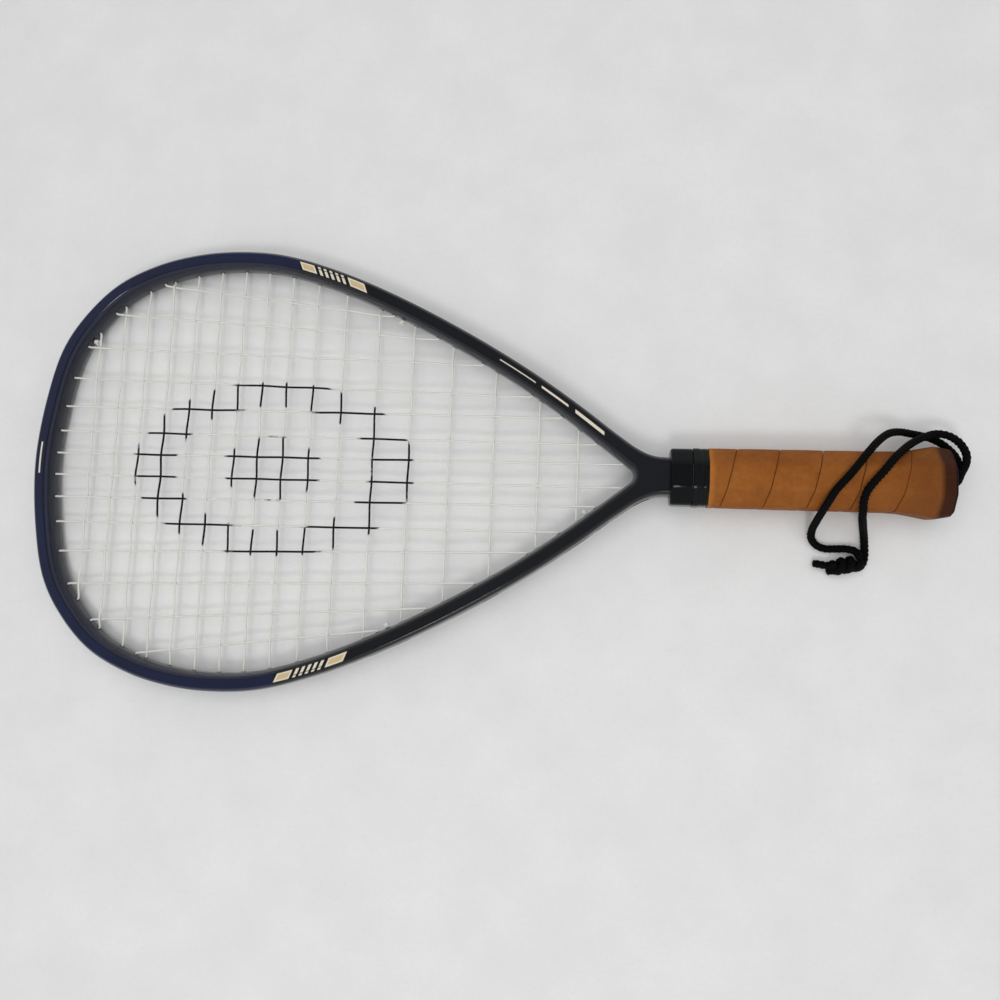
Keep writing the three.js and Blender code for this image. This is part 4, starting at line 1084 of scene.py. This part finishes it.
def cap_mesh():
    """From the floor inside, back along the hollow, out along the skirt and over the rim."""
    rim_x = GRIP_END + 0.3
    rim = [s + CAP_PROUD for s in cap_core(rim_x)]
    floor_x = CAP_END - CAP_PLATE
    face_x = CAP_END - FACE_DISH
    wide, high = CAP_HOLLOW
    rings = [
        slot_ring(floor_x), handle_ring(floor_x, 10, 9.2), handle_ring(floor_x, wide, high),
        handle_ring(CAP_START + 0.2, wide, high), handle_ring(CAP_START, wide + 0.3, high + 0.3),
    ]
    for k in range(SKIRT_RINGS + 1):
        x = CAP_START + 0.01 + (rim_x - 0.02 - CAP_START) * k / SKIRT_RINGS
        rings.append(handle_ring(x, *cap_core(x)))
    rings.append(handle_ring(rim_x + 0.02, *cap_core(rim_x)))
    rings += [handle_ring(rim_x + past, rim[0] - inset, rim[1] - inset) for past, inset in RIM]
    rings += [
        handle_ring(face_x, 6.2, 8.6), slot_ring(face_x, *SLOT_LIP), slot_ring(CAP_END - 0.55),
        slot_ring(floor_x),
    ]
    bm = bmesh.new()
    skin(bm, rings)
    close_up(bm)
    return bm


CAP_RUBBER = moulded_rubber(
    "cap_rubber", ((0.0022, 0.0020, 0.0020, 1), (0.0062, 0.0056, 0.0056, 1)), (0.55, 0.75))
finished(cap_mesh(), "butt_end_cap", CAP_RUBBER, "butt_cap", crease=40)

STEEL = grained(
    "brushed_peg_steel", (1.0, 3.0, 0.6), ((0.42, 0.43, 0.44, 1), (0.6, 0.61, 0.62, 1)),
    (0.28, 0.45), 0.00003, drawn=(2400, 120, 2400), metal=1.0)
coat(STEEL, "cord_peg")

# Wrist cord.
# A braided nylon cord, about 45 cm long in all, is looped round the peg inside the cap,
# comes out of the slot as two strands and is tied in one knot with its cut ends.
CORD_RADIUS = 2.1
CORD_ROUND = 40
CORD_STEP = 0.36
CARRIERS = 4
BRAID_PITCH = 10.0
BRAID_DEPTH = 0.85
BRAID_LIFT = 0.14
CARRIER_FLATNESS = 0.7
CROSSING_RISE = 0.3
END_ROUNDING = 1.2
PEG_X = 519.1
BIGHT_STEPS = 10
BIGHT_END = CAP_END - CAP_PLATE - 0.25
WIDE_ROUTE = [
    (534.1, 5.7, 20.8), (536.5, 10.2, 20.2), (537.5, 14.34, 19.4), (537.1, 18.02, 18.4),
    (535, 22.35, 17.2), (531.5, 25.65, 16.2), (527.9, 27.25, 15.5), (523.2, 27.65, 15.4),
    (517.6, 25.85, 17.2), (509.8, 21.9, 21.4), (503.3, 17.35, 26.6), (496.3, 11.25, 31.8),
    (490.6, 4.45, 34), (486, -0.95, 34.1), (482, -6.35, 33.9), (480.1, -11.65, 33.4),
    (480.2, -16.6, 31.6), (481.2, -20.2, 27), (483.5, -23, 20), (486.5, -26.1, 11),
    (488.7, -29.85, 5), (489.6, -34.25, 2.7), (489.6, -38.85, 2.8), (488.7, -42.9, 3.7),
    (486.4, -46, 4.3), (482.9, -46.6, 4.6),
]
LONG_ROUTE = [
    (534.6, 3.6, 13.2), (536.3, 7.6, 13.1), (535.9, 12.29, 12.8), (534.4, 16.26, 12),
    (532.2, 19.4, 11), (528.3, 23.15, 10), (523.8, 25.75, 9.4), (518.5, 27.35, 9.6),
    (512.6, 28.15, 10.8), (505.2, 28.55, 14), (498, 26.8, 19), (490.5, 21.7, 25.5),
    (483.1, 14.25, 31.2), (477, 6.75, 33.8), (472.8, 1.35, 33.9), (468.9, -3.15, 33.8),
    (465.5, -7.45, 33.3), (463, -12.3, 31.3), (460.9, -17.6, 26.3), (459.9, -22.3, 18),
    (459.7, -26.8, 9), (460.7, -30.9, 4), (463.4, -34.2, 2.6), (468, -36.15, 2.3),
    (474.6, -36.15, 2.3), (480, -36.05, 2.8), (484, -37.2, 4.4), (485.7, -39.7, 6.2),
    (484.7, -42, 6.4),
]
KNOT_TURNS = 3.15
KNOT_STEPS = 42
KNOT_CORD = 2.4
KNOT_START = (485.4, -44.2, 4.9)
KNOT_RUN = -14.4
KNOT_DRIFT = -2.9
KNOT_SLANT = 1.1
KNOT_FLOOR = 2.65
KNOT_REACH = 1.75
KNOT_SWELL = 0.85
KNOT_SQUASH = 0.9
CUT_ENDS = (
    ((474, -46.0, 5.0), (468.5, -45.7, 4.5), (464.6, -45.0, 3.6), (461.4, -44.7, 2.9)),
    ((474, -47.6, 3.6), (471.2, -48.6, 3.0), (468.9, -49.2, 2.6)),
)


def table_place(p):
    """A place measured from the tip along the table, across it and up from it, in metres."""
    return Vector(((p[0] + ORIGIN_X) * MM, p[1] * MM, p[2] * MM))


def braid_height(around, along):
    """Two sets of carriers cross over and under each other round the cord."""
    lean = 2 * math.pi * along / BRAID_PITCH
    one = abs(math.sin(CARRIERS * (around + lean) / 2)) ** CARRIER_FLATNESS
    other = abs(math.sin(CARRIERS * (around - lean) / 2)) ** CARRIER_FLATNESS
    over = CROSSING_RISE * math.cos(CARRIERS * around)
    return max(one + over, other - over) / (1 + CROSSING_RISE) - 1


def braided(bm, line, radius, taper):
    """A braided tube round a smooth line in metres, its section carried without twist."""
    steps = max(4, round(line.length / (CORD_STEP * MM)))
    _, along = line.at(0)
    side = along.orthogonal().normalized()
    whole = line.length / MM
    rings = []
    for k in range(steps + 1):
        centre, along = line.at(k / steps)
        side = (side - along * side.dot(along)).normalized()
        up = along.cross(side)
        run = whole * k / steps
        from_end = min(run if taper[0] else whole, whole - run if taper[1] else whole, END_ROUNDING)
        full = max(math.sqrt(1 - (1 - from_end / END_ROUNDING) ** 2), 0.25)
        ring = []
        for j, (c, s) in enumerate(circle(CORD_ROUND)):
            height = braid_height(2 * math.pi * j / CORD_ROUND, run)
            reach = (radius + BRAID_LIFT + BRAID_DEPTH * height) * full
            ring.append(centre + (side * c + up * s) * reach * MM)
        rings.append(ring)
    first, last = skin(bm, rings)
    bmesh.ops.holes_fill(bm, edges=first, sides=0)
    bmesh.ops.holes_fill(bm, edges=last, sides=0)


def braided_nylon():
    material, shader, place = new_finish("braided_nylon")
    fibre = noise(place, 2600, 4.0, 0.7)
    dust = ramp(noise(place, 190, 3.0, 0.6), 0.6, 0.8, 0.0, 0.08)
    black = ((0.0010, 0.0010, 0.0010, 1), (0.0032, 0.0030, 0.0029, 1))
    colour = blend(ramp(fibre, 0.35, 0.75), *black)
    feed(shader, {
        "Base Color": blend(dust, colour, (0.03, 0.028, 0.026, 1)),
        "Roughness": ramp(fibre, 0.3, 0.7, 0.62, 0.85), "Specular IOR Level": 0.1,
    })
    bump(shader, fibre, 0.00008, 0.6)
    return material


BRAID = braided_nylon()


def cord_piece(name, node, lines):
    """A piece of cord along one line or more, each with its thickness and its cut ends."""
    bm = bmesh.new()
    for line, radius, taper in lines:
        braided(bm, line, radius, taper)
    outward(bm)
    return finished(bm, name, BRAID, node, crease=180, lay=Matrix())


def strand_line(rise, route):
    inside = on_table((BIGHT_END + 0.3, 0, rise))
    lip = on_table((CAP_END + 1, 0, rise))
    return SmoothLine([inside, lip, *(table_place(p) for p in route)], fine=24)


def bight_line():
    turn = []
    for k in range(BIGHT_STEPS + 1):
        a = math.pi / 2 + math.pi * k / BIGHT_STEPS
        turn.append((PEG_X + STRAND_RISE * math.cos(a), 0, STRAND_RISE * math.sin(a)))
    ends = (BIGHT_END, 0, STRAND_RISE), (BIGHT_END, 0, -STRAND_RISE)
    return SmoothLine([on_table(p) for p in (ends[0], *turn, ends[1])])


def knot_line():
    """Three slanting turns drawn tight round the two strands."""
    wound = []
    for k in range(KNOT_STEPS + 1):
        t = k / KNOT_STEPS
        angle = 2 * math.pi * KNOT_TURNS * t + 0.5
        reach = KNOT_REACH + KNOT_SWELL * math.sin(math.pi * t)
        x = KNOT_START[0] + KNOT_RUN * t + KNOT_SLANT * math.sin(angle)
        y = KNOT_START[1] + KNOT_DRIFT * t ** 1.5 + reach * math.cos(angle)
        z = KNOT_START[2] + reach * KNOT_SQUASH * math.sin(angle)
        wound.append(table_place((x, y, max(KNOT_FLOOR, z))))
    return SmoothLine(wound, fine=12)


knot_parts = [(knot_line(), KNOT_CORD, (True, True))]
for ends in CUT_ENDS:
    cut_end = SmoothLine([table_place(p) for p in ends], fine=12)
    knot_parts.append((cut_end, CORD_RADIUS, (False, True)))
knot = cord_piece("cut_end_knot", "cord_knot", knot_parts)
cord_piece("cord_round_peg", "cord_bight", [(bight_line(), CORD_RADIUS, (False, False))])
for name, rise, route, node, tied in (
    ("wide_strand", STRAND_RISE, WIDE_ROUTE, "cord_strand_wide", (knot,)),
    ("long_strand", -STRAND_RISE, LONG_ROUTE, "cord_strand_long", ()),
):
    line = strand_line(rise, route)
    strand = cord_piece(name, node, [(line, CORD_RADIUS, (False, True))])
    tuple(on_table((CAP_END, 0, rise)))
    [tuple(p) for p in line.places]
    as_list(tied)

# Floor, light and camera.
# The racket lies on a pale textured floor under soft daylight from above and in front.
LENS = 30.6
CAMERA_PLACE = ((337.979 + ORIGIN_X) * MM, -0.06286, 0.49461)
CAMERA_TURN = (-0.0980344, -0.1078132, -0.039642)
FLOOR_REACH = 6.0


def floor_finish():
    material, shader, place = new_finish("pale_floor")
    patches = ramp(noise(place, 24, 4.0, 0.6), 0.35, 0.7)
    grit = noise(place, 420, 4.0, 0.7)
    colour = blend(patches, (0.775, 0.775, 0.77, 1), (0.82, 0.82, 0.815, 1))
    specks = ramp(grit, 0.5, 0.8, 0.0, 0.3)
    feed(shader, {
        "Base Color": blend(specks, colour, (0.68, 0.675, 0.665, 1)),
        "Roughness": 0.85, "Specular IOR Level": 0.2,
    })
    bump(shader, grit, 0.0002, 0.3)
    return material


def floor_piece():
    bm = bmesh.new()
    bmesh.ops.create_grid(bm, x_segments=8, y_segments=8, size=FLOOR_REACH)
    mesh = bpy.data.meshes.new("floor")
    bm.to_mesh(mesh)
    bm.free()
    mesh.materials.append(floor_finish())
    in_scene("floor", mesh)


floor_piece()


def lamp(name, power, size, place):
    """A round soft lamp, turned to the middle of the racket."""
    light = bpy.data.lights.new(name, "AREA")
    light.shape = "DISK"
    light.size = size
    light.energy = power
    holder = in_scene(name, light)
    holder.location = place
    holder.rotation_euler = (-Vector(place)).to_track_quat("-Z", "Y").to_euler()
    return holder


lamp("window_light", 6.5, 0.45, (0.05, -0.9, 1.5))
# A wide bounce from the ceiling: it fills the shadows and has no bright face to be mirrored.
lamp("ceiling_bounce", 15, 2.0, (0, 0.2, 1.8)).visible_glossy = False

world = bpy.data.worlds.new("room_light")
bpy.context.scene.world = world
world.use_nodes = True
sky = world.node_tree
# A plain room: pale walls, a dimmer ceiling straight above.
facing = shader_node(sky, "TexCoord").outputs["Generated"]
level = ramp(parts(facing)[2], 0.64, 0.86, 0.55, 0.2)
feed(sky.nodes["Background"], {"Color": (0.98, 0.985, 1.0, 1), "Strength": level})

camera = bpy.data.cameras.new("camera")
camera.lens = LENS
camera.sensor_width = 36
camera.clip_start = 0.01
viewer = in_scene("camera", camera)
tilt, lean, roll = CAMERA_TURN
seen = Matrix.Rotation(roll, 3, "Z") @ Matrix.Rotation(tilt, 3, "X") @ Matrix.Rotation(lean, 3, "Y")
viewer.matrix_world = Matrix.Translation(CAMERA_PLACE) @ seen.transposed().to_4x4()
bpy.context.scene.camera = viewer
bpy.context.scene.view_settings.view_transform = "Standard"
